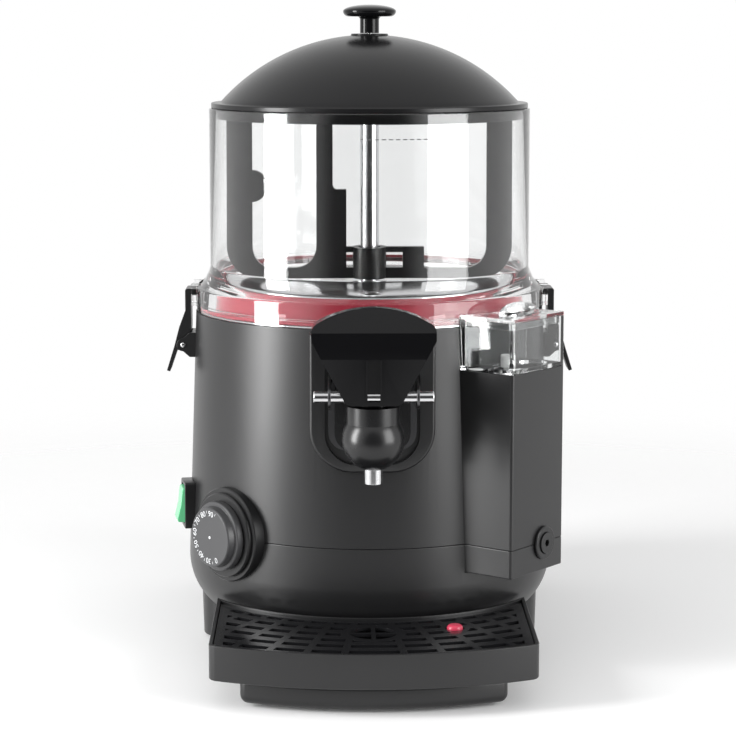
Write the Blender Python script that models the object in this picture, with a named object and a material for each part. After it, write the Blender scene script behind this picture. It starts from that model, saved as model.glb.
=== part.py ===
"""Hot chocolate dispenser with a heated clear bowl, a stirrer and a pull tap.

The bowl's axis is the design axis. X runs to the machine's right, -Y to its front and +Z up.
All lengths are metres. The whole machine hangs on one empty that puts the middle of its
footprint on the world origin, so the feet stand on Z = 0.
"""
import math

import bmesh
import bpy
from mathutils import Matrix, Vector

# Overall sizes
TOTAL_HEIGHT = 0.4650
FRONT_REACH = 0.2300
REAR_REACH = 0.1780
BOWL_COLLAR_RADIUS = 0.1268

# Clearances and cutting allowance
GAP = 0.0003
OVERRUN = 0.0040
WELD_DISTANCE = 0.000002

# Roundness of turned pieces
LARGE_SEGMENTS = 32
MEDIUM_SEGMENTS = 16
SMALL_SEGMENTS = 12
SHARP_ANGLE = math.radians(32)

# Bowl radii, worked inwards from its collar
COLLAR_WALL = 0.0022
COLLAR_STEP = 0.0075
BOWL_TAPER = 0.0029
BOWL_WALL = 0.0030
SEAL_ROOM = 0.0005
SEAL_LIP = 0.0021
FLOOR_ROOM = 0.0006
BOWL_SKIRT_RADIUS = BOWL_COLLAR_RADIUS - COLLAR_WALL
BOWL_FLARE_RADIUS = BOWL_COLLAR_RADIUS - COLLAR_STEP
BOWL_RADIUS = BOWL_FLARE_RADIUS - BOWL_TAPER
BOWL_BORE_RADIUS = BOWL_RADIUS - BOWL_WALL
SEAL_LIP_RADIUS = BOWL_BORE_RADIUS - SEAL_ROOM
FLOOR_WALL_RADIUS = SEAL_LIP_RADIUS - SEAL_LIP
FLOOR_FLANGE_RADIUS = BOWL_SKIRT_RADIUS - FLOOR_ROOM

# Heights of the lid and the bowl's rim, worked down from the top of the knob
KNOB_RISE = 0.0215
DOME_SPHERE_RADIUS = 0.1455
DOME_SET_IN = 0.0064
DOME_SHOULDER = 0.0017
LID_FLANGE_THICKNESS = 0.0036
DOME_TOP_Z = TOTAL_HEIGHT - KNOB_RISE
DOME_RADIUS = BOWL_BORE_RADIUS - DOME_SET_IN
DOME_RISE = DOME_SPHERE_RADIUS - math.sqrt(DOME_SPHERE_RADIUS ** 2 - DOME_RADIUS ** 2)
BOWL_TOP_Z = DOME_TOP_Z - DOME_RISE - DOME_SHOULDER - LID_FLANGE_THICKNESS - GAP

# Radii of the round housing, which carries the bowl's collar
HOUSING_COLLAR_STEP = 0.0003
HOUSING_FLARE = 0.0054
HOUSING_CORNER_WIDTH = 0.0365
MOUTH_ROOM = 0.0018
HOUSING_TOP_RADIUS = BOWL_COLLAR_RADIUS + HOUSING_COLLAR_STEP
SEAM_RADIUS = HOUSING_TOP_RADIUS + HOUSING_FLARE
HOUSING_FLAT_RADIUS = SEAM_RADIUS - HOUSING_CORNER_WIDTH
HOUSING_MOUTH_RADIUS = FLOOR_WALL_RADIUS + MOUTH_ROOM

# Stand, toe and base plate
FOOT_HEIGHT = 0.0025
FOOT_RADIUS = 0.0095
FOOT_STEM_RADIUS = 0.0040
FOOT_INSET_X = 0.0200
FOOT_TOE_INSET_Y = 0.0400
BASE_PLATE_THICKNESS = 0.0020
TOE_TOP_Z = 0.0198
TOE_HALF_WIDTH = 0.0895
TOE_SET_BACK = 0.0120
TOE_REACH = FRONT_REACH - TOE_SET_BACK
TOE_BOW = 0.0180
TOE_LOWER_RADIUS = 0.0060
TOE_EDGE_RADIUS = 0.0040
STAND_WALL = 0.0030
COLUMN_FRONT = 0.0300
COLUMN_TOP_Z = 0.1960
COLUMN_SET_IN = 0.0090
COLUMN_HALF_WIDTH_LOW = SEAM_RADIUS - COLUMN_SET_IN
COLUMN_SPREAD = 0.0055
COLUMN_HALF_WIDTH_HIGH = COLUMN_HALF_WIDTH_LOW + COLUMN_SPREAD
COLUMN_CORNER_RADIUS = 0.0260
COLUMN_TOP_EDGE_RADIUS = 0.0080

# Rear pocket, its cover and the power inlet
POCKET_HALF_WIDTH = 0.0900
POCKET_LOW_Z = 0.0260
POCKET_HIGH_Z = 0.1800
POCKET_BACK = 0.0060
POCKET_DEPTH = REAR_REACH - SEAM_RADIUS - POCKET_BACK
COVER_SEAT = 0.0030
COVER_THICKNESS = 0.0025
COVER_LIP = 0.0050
VENT_COUNT = 9
VENT_PITCH = 0.0085
VENT_WIDTH = 0.0035
VENT_HALF_LENGTH = 0.0300
VENT_FIRST_Z = 0.0920
INLET_HALF_WIDTH = 0.0135
INLET_HALF_HEIGHT = 0.0100
INLET_DEPTH = 0.0240
INLET_FLANGE_MARGIN = 0.0040
INLET_FLANGE_THICKNESS = 0.0018
INLET_WALL = 0.0020
INLET_POCKET_DEPTH = 0.0150
INLET_Z = 0.0520
INLET_X = -0.0450
INLET_PIN_HALF_THICKNESS = 0.0010
INLET_PIN_HALF_WIDTH = 0.0020
INLET_PIN_LENGTH = 0.0110
INLET_PIN_SPREAD = 0.0070
INLET_PIN_ROW = 0.0052

# Round housing that carries the bowl
HOUSING_BOTTOM_Z = 0.0220
HOUSING_CORNER_HEIGHT = 0.0420
SEAM_Z = 0.0925
SEAM_CHAMFER = 0.0008
HOUSING_TOP_Z = 0.2440
HOUSING_WALL = 0.0030
HOUSING_FLANGE = 0.0030
HOUSING_TOP_EDGE = 0.0012
CORNER_STEPS = 5

# Tap pad on the front of the housing
PAD_HALF_WIDTH = 0.0430
PAD_BOTTOM_Z = 0.1465
PAD_TOP_Z = 0.2425
PAD_PROUD = 0.0020
PAD_FACE_Y = -SEAM_RADIUS - PAD_PROUD
PAD_CORNER_RADIUS = 0.0300
PAD_EDGE_RADIUS = 0.0020
RECESS_HALF_WIDTH = 0.0325
RECESS_BOTTOM_Z = 0.1520
RECESS_TOP_Z = 0.2260
RECESS_DEPTH = 0.0035
RECESS_CORNER_RADIUS = 0.0220

# Water column beside the tap: a square column set at an angle, with the filler on top
COLUMN_ANGLE = math.radians(52)
WATER_PROUD = 0.0291
WATER_FACE_REACH = SEAM_RADIUS + WATER_PROUD
WATER_LOW_SIDE = -0.0517
WATER_HIGH_SIDE = 0.0130
WATER_DEPTH = 0.0600
WATER_BOTTOM_Z = 0.0725
WATER_DECK_Z = 0.2145
WATER_EDGE_RADIUS = 0.0020
WELL_HALF_LENGTH = 0.0270
WELL_HALF_WIDTH = 0.0130
WELL_SETBACK = 0.0170
WELL_BOTTOM_Z = 0.1100

# Clear filler box, its lid and the level float
BOX_TOP_Z = 0.2500
BOX_WALL = 0.0025
BOX_HOUSING_GAP = 0.0008
LID_PLATE = 0.0024
LID_RIM_DEPTH = 0.0050
LID_RIM_GAP = 0.0006
LID_GRIP_RADIUS = 0.0190
LID_GRIP_HEIGHT = 0.0085
LID_GRIP_FLATTEN_SHARE = 0.62
FLOAT_RADIUS = 0.0085
FLOAT_HEIGHT = 0.0160
FLOAT_STEM_RADIUS = 0.0022
FLOAT_TOP_Z = 0.2260
FLOAT_TIP_RADIUS = 0.0042
FLOAT_TIP_HEIGHT = 0.0090
FLOAT_OFFSET = 0.0140

# Drain on the outer face of the water column
DRAIN_Z = 0.0920
DRAIN_SIDE = -0.0121
DRAIN_BUSH_RADIUS = 0.0090
DRAIN_FLANGE_RADIUS = 0.0118
DRAIN_FLANGE_THICKNESS = 0.0022
DRAIN_DEPTH = 0.0110
DRAIN_PLUG_RADIUS = 0.0062
DRAIN_PLUG_HEAD_RADIUS = 0.0074
DRAIN_PLUG_HEAD = 0.0016
DRAIN_KEY_RADIUS = 0.0026
DRAIN_KEY_DEPTH = 0.0040

# Raised steel floor of the bowl and its red seal
FLOOR_SHEET = 0.0012
FLOOR_TOP_Z = 0.2612
SEAL_FOOT_HEIGHT = 0.0030
SEAL_TOP_DROP = 0.0006

# Clear bowl
BOWL_FLARE_Z = 0.2765
BOWL_STEP_Z = 0.2685
BOWL_COLLAR_TOP_Z = 0.2625
BOWL_RIM_ROUND = 0.0008
LUG_PROUD = 0.0032
LUG_REACH = BOWL_COLLAR_RADIUS + LUG_PROUD
LUG_HALF_WIDTH = 0.0150
LUG_LOW_Z = 0.2480
LUG_HIGH_Z = 0.2640
LUG_LEDGE_Z = 0.2553
LUG_CHANNEL_HALF_WIDTH = 0.0116
LUG_CHANNEL_SET_IN = 0.0053
LUG_CHANNEL_REACH = BOWL_COLLAR_RADIUS - LUG_CHANNEL_SET_IN

# Side latches
LATCH_PIVOT_STAND_OFF = 0.0094
LATCH_HOOK_SET_OUT = 0.0010
LATCH_INNER_SET_OUT = 0.0006
LATCH_SHOULDER_SET_OUT = 0.0048
LATCH_KNEE_STEP = 0.0045
LATCH_HEEL_STEP = 0.0039
LATCH_LIP_STEP = 0.0055
LATCH_PIVOT_X = HOUSING_TOP_RADIUS + LATCH_PIVOT_STAND_OFF
LATCH_PIVOT_Z = 0.2190
LATCH_HALF_WIDTH = 0.0110
LATCH_BOSS_RADIUS = 0.0050
BOSS_STEPS = 4
LATCH_PIN_RADIUS = 0.0020
LATCH_HOOK_THICKNESS = 0.0044
LATCH_HOOK_TIP_X = LUG_CHANNEL_REACH + LATCH_HOOK_SET_OUT
LATCH_SHOULDER_X = LUG_REACH + LATCH_SHOULDER_SET_OUT
LATCH_KNEE_X = LATCH_SHOULDER_X + LATCH_KNEE_STEP
LATCH_KNEE_Z = 0.2320
LATCH_HEEL_X = LATCH_KNEE_X + LATCH_HEEL_STEP
LATCH_HEEL_Z = 0.2150
LATCH_INNER_X = LUG_REACH + LATCH_INNER_SET_OUT
LATCH_LIP_X = LATCH_HEEL_X + LATCH_LIP_STEP
LATCH_LIP_Z = 0.1990
LATCH_LIP_THICKNESS = 0.0024
BRACKET_EAR_THICKNESS = 0.0020
BRACKET_EAR_RADIUS = 0.0048
BRACKET_BACK = 0.0018
BRACKET_HALF_HEIGHT = 0.0090

# Bath, heater, frame and drive under the bowl
OUTLET_SET_IN = 0.0153
OUTLET_TUBE_RADIUS = 0.0080
BATH_ROOM = 0.0045
FRAME_OVERHANG = 0.0030
OUTLET_Y = OUTLET_SET_IN - FLOOR_WALL_RADIUS
BATH_RADIUS = -OUTLET_Y - OUTLET_TUBE_RADIUS - BATH_ROOM
BATH_SHEET = 0.0012
BATH_BOTTOM_Z = 0.1600
BATH_TOP_Z = 0.2596
CHIMNEY_RADIUS = 0.0118
HEATER_RING_RADIUS = 0.0580
HEATER_TUBE_RADIUS = 0.0035
HEATER_OPENING = math.radians(24)
HEATER_STEPS = 20
HEATER_LEG = 0.0200
FRAME_RADIUS = BATH_RADIUS + FRAME_OVERHANG
FRAME_PLATE = 0.0022
FRAME_LEG_HALF_WIDTH = 0.0090
FRAME_LEG_THICKNESS = 0.0022
FRAME_LEG_COUNT = 3
FRAME_HOLE_RADIUS = 0.0100
GEARBOX_HALF_WIDTH = 0.0300
GEARBOX_HEIGHT = 0.0260
GEARBOX_CORNER_RADIUS = 0.0080
MOTOR_RADIUS = 0.0270
MOTOR_HEIGHT = 0.0420
SHAFT_RADIUS = 0.0040
SHAFT_PROUD = 0.0055
SHAFT_TOP_Z = BOWL_TOP_Z + SHAFT_PROUD
SHAFT_SOCKET = 0.0150
COUPLING_RADIUS = 0.0095
COUPLING_HEIGHT = 0.0160
TUBE_RADIUS = 0.0070
TUBE_BORE_RADIUS = 0.0048
TUBE_TOP_DROP = 0.0050
TUBE_TOP_Z = BOWL_TOP_Z - TUBE_TOP_DROP
TUBE_FLANGE_RADIUS = 0.0130
TUBE_FLANGE = 0.0018
CAP_RADIUS = 0.0142
CAP_THICKNESS = 0.0042

# Stirrer frame
STIRRER_WALL_GAP = 0.0084
STIRRER_RADIUS = BOWL_BORE_RADIUS - STIRRER_WALL_GAP
STIRRER_HALF_THICKNESS = 0.0028
STIRRER_BOTTOM_Z = 0.2650
STIRRER_TOP_Z = SHAFT_TOP_Z
STIRRER_BLADE_WIDTH = 0.0190
STIRRER_BAR_HEIGHT = 0.0075
STIRRER_FOOT_RADIUS = 0.0240
STIRRER_WINDOW_RADIUS = 0.0120
STIRRER_PADDLE_OUTER = 0.0390
STIRRER_PADDLE_INNER = 0.0170
STIRRER_PADDLE_STEP = 0.0100
STIRRER_STEP_SHARE = 0.4715
STIRRER_STEP_Z = STIRRER_BOTTOM_Z + STIRRER_STEP_SHARE * (STIRRER_TOP_Z - STIRRER_BOTTOM_Z)
STIRRER_BUMP_RADIUS = 0.0110
STIRRER_BUMP_SHARE = 0.4943
STIRRER_BUMP_Z = STIRRER_BOTTOM_Z + STIRRER_BUMP_SHARE * (STIRRER_TOP_Z - STIRRER_BOTTOM_Z)
STIRRER_BUMP_REACH = 0.0110
STIRRER_HUB_RADIUS = 0.0120
STIRRER_HUB_CAP = 0.0050
STIRRER_HUB_TOP_Z = SHAFT_TOP_Z + STIRRER_HUB_CAP
STIRRER_HUB_DEPTH = 0.0150
STIRRER_TUBE_GAP = 0.0012
STIRRER_RING_WALL = 0.0040
STIRRER_BLOCK_REACH = 0.0400
STIRRER_BLOCK_TOP_Z = 0.2870

# Domed lid, knob and knob screw
LID_FLANGE_SET_IN = 0.0015
LID_FLANGE_RADIUS = BOWL_RADIUS - LID_FLANGE_SET_IN
LID_SKIRT_GAP = 0.0007
LID_SKIRT_RADIUS = BOWL_BORE_RADIUS - LID_SKIRT_GAP
LID_SKIRT_DEPTH = 0.0080
LID_WALL = 0.0024
DOME_STEPS = 5
LID_SEAT_RADIUS = 0.0135
LID_SEAT_HEIGHT = 0.0014
KNOB_STEM_RADIUS = 0.0069
KNOB_CAP_RADIUS = 0.0192
KNOB_CAP_UNDER_RADIUS = 0.0150
KNOB_CAP_HEIGHT = 0.0086
KNOB_CAP_EDGE_SHARE = 0.45
SCREW_RADIUS = 0.0020
SCREW_CLEAR = 0.0003
SCREW_HEAD_RADIUS = 0.0055
SCREW_HEAD = 0.0026
SCREW_DEPTH = 0.0120

# Tap
TAP_STAND_OFF = 0.0335
TAP_PIVOT_STEP = 0.0180
TAP_Y = PAD_FACE_Y - TAP_STAND_OFF
TAP_BARREL_Z = 0.1860
TAP_BARREL_RADIUS = 0.0125
TAP_BORE_RADIUS = 0.0065
BULB_RADIUS = 0.0212
BULB_Z = 0.1760
BULB_FLOOR_Z = 0.1556
BULB_FLOOR = 0.0030
BULB_STEPS = 7
NECK_RADIUS = 0.0160
NECK_TOP_Z = 0.1990
VALVE_BORE_RADIUS = 0.0090
TAP_FLANGE_THICKNESS = 0.0040
TAP_FLANGE_HALF_WIDTH = 0.0260
TAP_FLANGE_BOTTOM_Z = 0.1620
TAP_BRACKET_SHEET = 0.0018
TAP_ARM_INNER = 0.0285
TAP_ARM_BOTTOM_Z = 0.1980
TAP_PIVOT_Y = TAP_Y - TAP_PIVOT_STEP
TAP_PIVOT_Z = 0.2075
TAP_ARM_END_RADIUS = 0.0075
TAP_PIN_RADIUS = 0.0040
TAP_PIN_HALF_LENGTH = 0.0400
NOZZLE_RADIUS = 0.0060
NOZZLE_BORE_RADIUS = 0.0042
NOZZLE_BOTTOM_Z = 0.1455
NOZZLE_FLANGE_RADIUS = 0.0087
NOZZLE_FLANGE = 0.0017
GLAND_RADIUS = 0.0125
GLAND_FLANGE = 0.0018
GLAND_PLUG = 0.0045
PLUNGER_RADIUS = 0.0025
PLUNGER_TOP = 0.0030
CROSS_PIN_RADIUS = 0.0018
CROSS_PIN_HALF_LENGTH = 0.0095
PLUG_RADIUS = 0.0084
PLUG_HEIGHT = 0.0074
PLUG_SOCKET = 0.0060
SPRING_RADIUS = 0.0056
SPRING_WIRE_RADIUS = 0.0007
SPRING_TURNS = 6
SPRING_POINTS = 6

# Tap lever
LEVER_TOP_Z = 0.2660
LEVER_SHOULDER_Z = 0.2545
LEVER_SHOULDER_HALF_WIDTH = 0.0412
LEVER_BOTTOM_Z = 0.2020
LEVER_BOTTOM_HALF_WIDTH = 0.0200
LEVER_SIDE_DROP = 0.0070
LEVER_BACK_STEP = 0.0010
LEVER_CROWN_DEPTH = 0.0080
LEVER_DEPTH = 0.0245
LEVER_TOE_SET_BACK = 0.0035
LEVER_BACK_Y = TAP_Y - LEVER_BACK_STEP
LEVER_CROWN_Y = LEVER_BACK_Y - LEVER_CROWN_DEPTH
LEVER_PANEL_TOP_Z = 0.2510
LEVER_PANEL_BOTTOM_Z = 0.2335
LEVER_PANEL_Y = LEVER_BACK_Y - LEVER_DEPTH
LEVER_TOE_Y = LEVER_PANEL_Y + LEVER_TOE_SET_BACK
LEVER_WALL = 0.0028
LEVER_BOSS_RADIUS = 0.0082
LEVER_BOSS_HALF_WIDTH = 0.0130
TINE_INNER = 0.0034
TINE_OUTER = 0.0084
TINE_THICKNESS = 0.0036
TINE_PAST_PLUNGER = 0.0035
TINE_END_Y = TAP_Y + TINE_PAST_PLUNGER
SLOT_HALF_WIDTH = 0.0042
SLOT_DEPTH = 0.0012
SLOT_RIB_WIDTH = 0.0011
SLOT_RIB_HEIGHT = 0.0008
LEVER_ARC_STEPS = 6

# Tube from the bowl's floor to the tap
OUTLET_BORE_RADIUS = 0.0060
OUTLET_BEND_RADIUS = 0.0180
OUTLET_HOLE_RADIUS = 0.0072

# Thermostat dial
DIAL_ANGLE = math.radians(-49)
DIAL_Z = 0.0940
DIAL_FACE_PROUD = 0.0185
DIAL_FACE_REACH = SEAM_RADIUS + DIAL_FACE_PROUD
DIAL_FACE_RADIUS = 0.0210
DIAL_SKIRT_RADIUS = 0.0245
DIAL_SKIRT_PROUD = 0.0130
DIAL_SKIRT_REACH = SEAM_RADIUS + DIAL_SKIRT_PROUD
BEZEL_RADIUS = 0.0335
BEZEL_STEP_RADIUS = 0.0300
BEZEL_STEP_PROUD = 0.0045
BEZEL_PROUD = 0.0075
BEZEL_STEP_REACH = SEAM_RADIUS + BEZEL_STEP_PROUD
BEZEL_REACH = SEAM_RADIUS + BEZEL_PROUD
DIAL_STEM_RADIUS = 0.0030
BUSHING_RADIUS = 0.0048
THERMOSTAT_RADIUS = 0.0170
THERMOSTAT_SET_IN = 0.0145
THERMOSTAT_REACH = SEAM_RADIUS - THERMOSTAT_SET_IN
THERMOSTAT_DEPTH = 0.0240

# Rocker switch
SWITCH_ANGLE = math.radians(-80)
SWITCH_Z = 0.1035
SWITCH_HALF_WIDTH = 0.0120
SWITCH_HALF_HEIGHT = 0.0171
SWITCH_PROUD = 0.0065
SWITCH_REACH = SEAM_RADIUS + SWITCH_PROUD
SWITCH_BODY_MARGIN = 0.0018
SWITCH_DEPTH = 0.0270
SWITCH_BODY_REACH = SWITCH_REACH - SWITCH_DEPTH
SWITCH_CORNER_RADIUS = 0.0020
ROCKER_HALF_WIDTH = 0.0092
ROCKER_HALF_HEIGHT = 0.0128
ROCKER_GAP = 0.0005
ROCKER_END_GAP = 0.0014
ROCKER_PIVOT_DEPTH = 0.0025
ROCKER_PIVOT_REACH = SWITCH_REACH - ROCKER_PIVOT_DEPTH
ROCKER_PROUD = 0.0078
ROCKER_SUNK = 0.0038
ROCKER_BASE_DEPTH = 0.0030
ROCKER_BASE_HALF_HEIGHT = 0.0100
ROCKER_POCKET_DEPTH = 0.0080

# Drip tray, grid and full-tray float
TRAY_TOP_Z = 0.0441
TRAY_HALF_WIDTH = 0.1100
TRAY_BOW = 0.0250
TRAY_WALL = 0.0025
TRAY_HOUSING_SET_IN = 0.0009
TRAY_HOUSING_RADIUS = SEAM_RADIUS - TRAY_HOUSING_SET_IN
TRAY_CORNER_RADIUS = 0.0080
TRAY_LOWER_RADIUS = 0.0060
TRAY_ARC_STEPS = 10
POST_RADIUS = 0.0040
POST_X = 0.0700
POST_SET_BACK = 0.0350
POST_SPAN = 0.0500
POST_FRONT_Y = POST_SET_BACK - FRONT_REACH
POST_REAR_Y = POST_FRONT_Y + POST_SPAN
GRID_DROP = 0.0016
GRID_THICKNESS = 0.0022
GRID_GAP = 0.0006
GRID_BORDER = 0.0060
GRID_SLOT = 0.0070
GRID_SLAT = 0.0080
GRID_RIB = 0.0050
GRID_ROWS = 6
GRID_RIB_PAIRS = 7
GRID_FIRST_RIB = math.radians(5.1)
GRID_RIB_PITCH = math.radians(6.6)
GRID_RING_RADIUS = 0.0225
GRID_RING_HOLE_RADIUS = 0.0160
GRID_RING_BAR = 0.0030
TRAY_FLOAT_RADIUS = 0.0055
TRAY_FLOAT_X = 0.0560
TRAY_FLOAT_Y = -0.1560
TRAY_FLOAT_RISE = 0.0014
TRAY_FLOAT_GAP = 0.0010

AXIS_Y = (FRONT_REACH - REAR_REACH) / 2


def clear_scene():
    """Remove what the file starts with."""
    for found in list(bpy.data.objects):
        bpy.data.objects.remove(found, do_unlink=True)


def make_material(name, colour, roughness, metallic=0.0, alpha=1.0):
    """Return a Principled material with the piece's own colour and gloss."""
    material = bpy.data.materials.new(name)
    material.use_nodes = True
    shader = material.node_tree.nodes["Principled BSDF"]
    shader.inputs["Base Color"].default_value = (*colour, 1.0)
    shader.inputs["Roughness"].default_value = roughness
    shader.inputs["Metallic"].default_value = metallic
    shader.inputs["Alpha"].default_value = alpha
    return material


def new_object(name, shape):
    """Turn a bmesh into a linked object whose place is in its mesh."""
    bmesh.ops.remove_doubles(shape, verts=shape.verts, dist=WELD_DISTANCE)
    bmesh.ops.recalc_face_normals(shape, faces=shape.faces)
    mesh = bpy.data.meshes.new(name)
    shape.to_mesh(mesh)
    shape.free()
    made = bpy.data.objects.new(name, mesh)
    bpy.context.scene.collection.objects.link(made)
    return made


def turned(name, profile, segments=LARGE_SEGMENTS, closed=True):
    """Spin a profile of (radius, height) points round Z.

    A closed profile stays off the axis. An open one starts and ends on it.
    """
    shape = bmesh.new()
    points = [shape.verts.new((radius, 0, height)) for radius, height in profile]
    pairs = list(zip(points, points[1:]))
    if closed:
        pairs.append((points[-1], points[0]))
    edges = [shape.edges.new(pair) for pair in pairs]
    bmesh.ops.spin(
        shape, geom=points + edges, cent=(0, 0, 0), axis=(0, 0, 1), dvec=(0, 0, 0),
        angle=math.tau, steps=segments, use_merge=True, use_duplicate=False,
    )
    return new_object(name, shape)


def prism(name, outline, low, high):
    """Extrude an outline of (x, y) points from one height to another."""
    shape = bmesh.new()
    floor = shape.faces.new([shape.verts.new((x, y, low)) for x, y in outline])
    grown = bmesh.ops.extrude_face_region(shape, geom=[floor])
    raised = [item for item in grown["geom"] if isinstance(item, bmesh.types.BMVert)]
    bmesh.ops.translate(shape, verts=raised, vec=(0, 0, high - low))
    return new_object(name, shape)


def rod(name, radius, start, end, segments=SMALL_SEGMENTS):
    """A plain cylinder between two points."""
    start = Vector(start)
    end = Vector(end)
    along = end - start
    turn = Vector((0, 0, 1)).rotation_difference(along).to_matrix().to_4x4()
    shape = bmesh.new()
    bmesh.ops.create_cone(
        shape, cap_ends=True, segments=segments, radius1=radius, radius2=radius, depth=along.length,
        matrix=Matrix.Translation((start + end) / 2) @ turn,
    )
    return new_object(name, shape)


def block(name, low, high):
    """A box between two corners."""
    size = [top - bottom for bottom, top in zip(low, high)]
    middle = [(top + bottom) / 2 for bottom, top in zip(low, high)]
    shape = bmesh.new()
    bmesh.ops.create_cube(shape, size=1, matrix=Matrix.Translation(middle) @ Matrix.Diagonal((*size, 1)))
    return new_object(name, shape)


def tube_along(name, points, radius, sides=2, closed=False):
    """A round bar that follows a list of points, with flat ends."""
    curve = bpy.data.curves.new(name, "CURVE")
    curve.dimensions = "3D"
    curve.bevel_depth = radius
    curve.bevel_resolution = sides
    curve.use_fill_caps = True
    spline = curve.splines.new("POLY")
    spline.points.add(len(points) - 1)
    for slot, place in zip(spline.points, points):
        slot.co = (*place, 1)
    spline.use_cyclic_u = closed
    holder = bpy.data.objects.new(name, curve)
    bpy.context.scene.collection.objects.link(holder)
    bpy.context.view_layer.update()
    shape = bmesh.new()
    shape.from_mesh(holder.evaluated_get(bpy.context.evaluated_depsgraph_get()).to_mesh())
    bpy.data.objects.remove(holder, do_unlink=True)
    return new_object(name, shape)


def combine(target, tool, operation):
    """Cut, join or intersect two objects and keep the first."""
    change = target.modifiers.new(operation, "BOOLEAN")
    change.operation = operation
    change.solver = "EXACT"
    change.object = tool
    bpy.context.view_layer.update()
    result = bpy.data.meshes.new_from_object(target.evaluated_get(bpy.context.evaluated_depsgraph_get()))
    target.modifiers.clear()
    target.data = result
    bpy.data.objects.remove(tool, do_unlink=True)
    shape = bmesh.new()
    shape.from_mesh(target.data)
    bmesh.ops.remove_doubles(shape, verts=shape.verts, dist=WELD_DISTANCE)
    bmesh.ops.dissolve_degenerate(shape, edges=shape.edges, dist=WELD_DISTANCE)
    shape.to_mesh(target.data)
    shape.free()
    return target


def cut(target, *tools):
    """Take tools away from a piece."""
    for tool in tools:
        combine(target, tool, "DIFFERENCE")
    return target


def join(target, *tools):
    """Fuse tools into a piece."""
    for tool in tools:
        combine(target, tool, "UNION")
    return target


def keep_inside(target, tool):
    """Keep only what lies inside the tool."""
    return combine(target, tool, "INTERSECT")


def reshape(target, matrix):
    """Move the mesh of a piece."""
    target.data.transform(matrix)
    return target


def bevel_where(target, test, width, steps=2):
    """Round the edges whose two ends pass a test on their coordinates."""
    shape = bmesh.new()
    shape.from_mesh(target.data)
    edges = [edge for edge in shape.edges if all(test(corner.co) for corner in edge.verts)]
    bmesh.ops.bevel(
        shape, geom=edges, offset=width, offset_type="OFFSET", segments=steps,
        affect="EDGES", profile=0.5, clamp_overlap=True, material=-1,
    )
    shape.to_mesh(target.data)
    shape.free()
    return target


def arc(centre, radius, start, end, steps):
    """Points on an arc, from one angle to another, both ends kept."""
    return [
        (centre[0] + radius * math.cos(start + (end - start) * step / steps),
         centre[1] + radius * math.sin(start + (end - start) * step / steps))
        for step in range(steps + 1)
    ]


def rounded_box_outline(low_x, high_x, low_y, high_y, radius, steps=3):
    """A rectangle with round corners, anticlockwise."""
    right = math.pi / 2
    return (
        arc((high_x - radius, low_y + radius), radius, -right, 0, steps)
        + arc((high_x - radius, high_y - radius), radius, 0, right, steps)
        + arc((low_x + radius, high_y - radius), radius, right, math.pi, steps)
        + arc((low_x + radius, low_y + radius), radius, math.pi, math.pi + right, steps)
    )


def facing(angle):
    """A frame whose X is the outward direction at an angle from the front, Y along the wall, Z up."""
    return Matrix.Rotation(angle - math.pi / 2, 4, "Z")


def upright_outline(name, outline, near, far):
    """Extrude an outline of (x, z) points along Y, from near to far."""
    made = prism(name, outline, near, far)
    reshape(made, Matrix(((1, 0, 0, 0), (0, 0, 1, 0), (0, 1, 0, 0), (0, 0, 0, 1))))
    made.data.flip_normals()
    return made


def side_outline(name, outline, low, high):
    """Extrude an outline of (y, z) points along X, from low to high."""
    made = prism(name, outline, low, high)
    return reshape(made, Matrix(((0, 0, 1, 0), (1, 0, 0, 0), (0, 1, 0, 0), (0, 0, 0, 1))))


def housing_radius(height):
    """Outer radius of the round housing at a height above its rounded foot."""
    slope = (HOUSING_TOP_RADIUS - SEAM_RADIUS) / (HOUSING_TOP_Z - SEAM_Z)
    return SEAM_RADIUS + slope * (height - SEAM_Z)


def housing_profile(grow, low_z, high_z):
    """Open profile of the housing's outside, grown outwards, from its floor to a height."""
    shoulder_z = HOUSING_BOTTOM_Z + HOUSING_CORNER_HEIGHT
    width = housing_radius(shoulder_z) - HOUSING_FLAT_RADIUS
    points = [(0, low_z)]
    if low_z < shoulder_z:
        for step in range(CORNER_STEPS + 1):
            turn = math.pi / 2 * step / CORNER_STEPS
            radius = HOUSING_FLAT_RADIUS + width * math.sin(turn)
            height = shoulder_z - HOUSING_CORNER_HEIGHT * math.cos(turn)
            points.append((radius + grow * math.sin(turn), height - grow * math.cos(turn)))
        points[0] = (0, points[1][1])
    else:
        points.append((housing_radius(low_z) + grow, low_z))
    points.append((housing_radius(high_z) + grow, high_z))
    points.append((0, high_z))
    return points


def housing_solid(name, grow, low_z, high_z):
    """Solid of the housing's outside, grown outwards."""
    return turned(name, housing_profile(grow, low_z, high_z), closed=False)


def water_outline(margin):
    """Plan of the water column in its own frame, drawn in by a margin."""
    return rounded_box_outline(
        WATER_FACE_REACH - WATER_DEPTH, WATER_FACE_REACH - margin,
        WATER_LOW_SIDE + margin, WATER_HIGH_SIDE - margin, WATER_EDGE_RADIUS,
    )


def water_prism(name, margin, low, high):
    """Upright block with the water column's plan."""
    return reshape(prism(name, water_outline(margin), low, high), facing(COLUMN_ANGLE))


def well_centre():
    """Middle of the water well in the column's own frame."""
    return Vector((WATER_FACE_REACH - WELL_SETBACK, (WATER_LOW_SIDE + WATER_HIGH_SIDE) / 2, 0))


def well_prism(name, margin, low, high):
    """Oval block that fills the water well."""
    centre = well_centre()
    half_width = WELL_HALF_WIDTH - margin
    half_length = WELL_HALF_LENGTH - margin
    outline = [
        (centre.x + half_width * across, centre.y + half_length * along)
        for across, along in arc((0, 0), 1, 0, math.tau, MEDIUM_SEGMENTS)[:-1]
    ]
    return reshape(prism(name, outline, low, high), facing(COLUMN_ANGLE))


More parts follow.
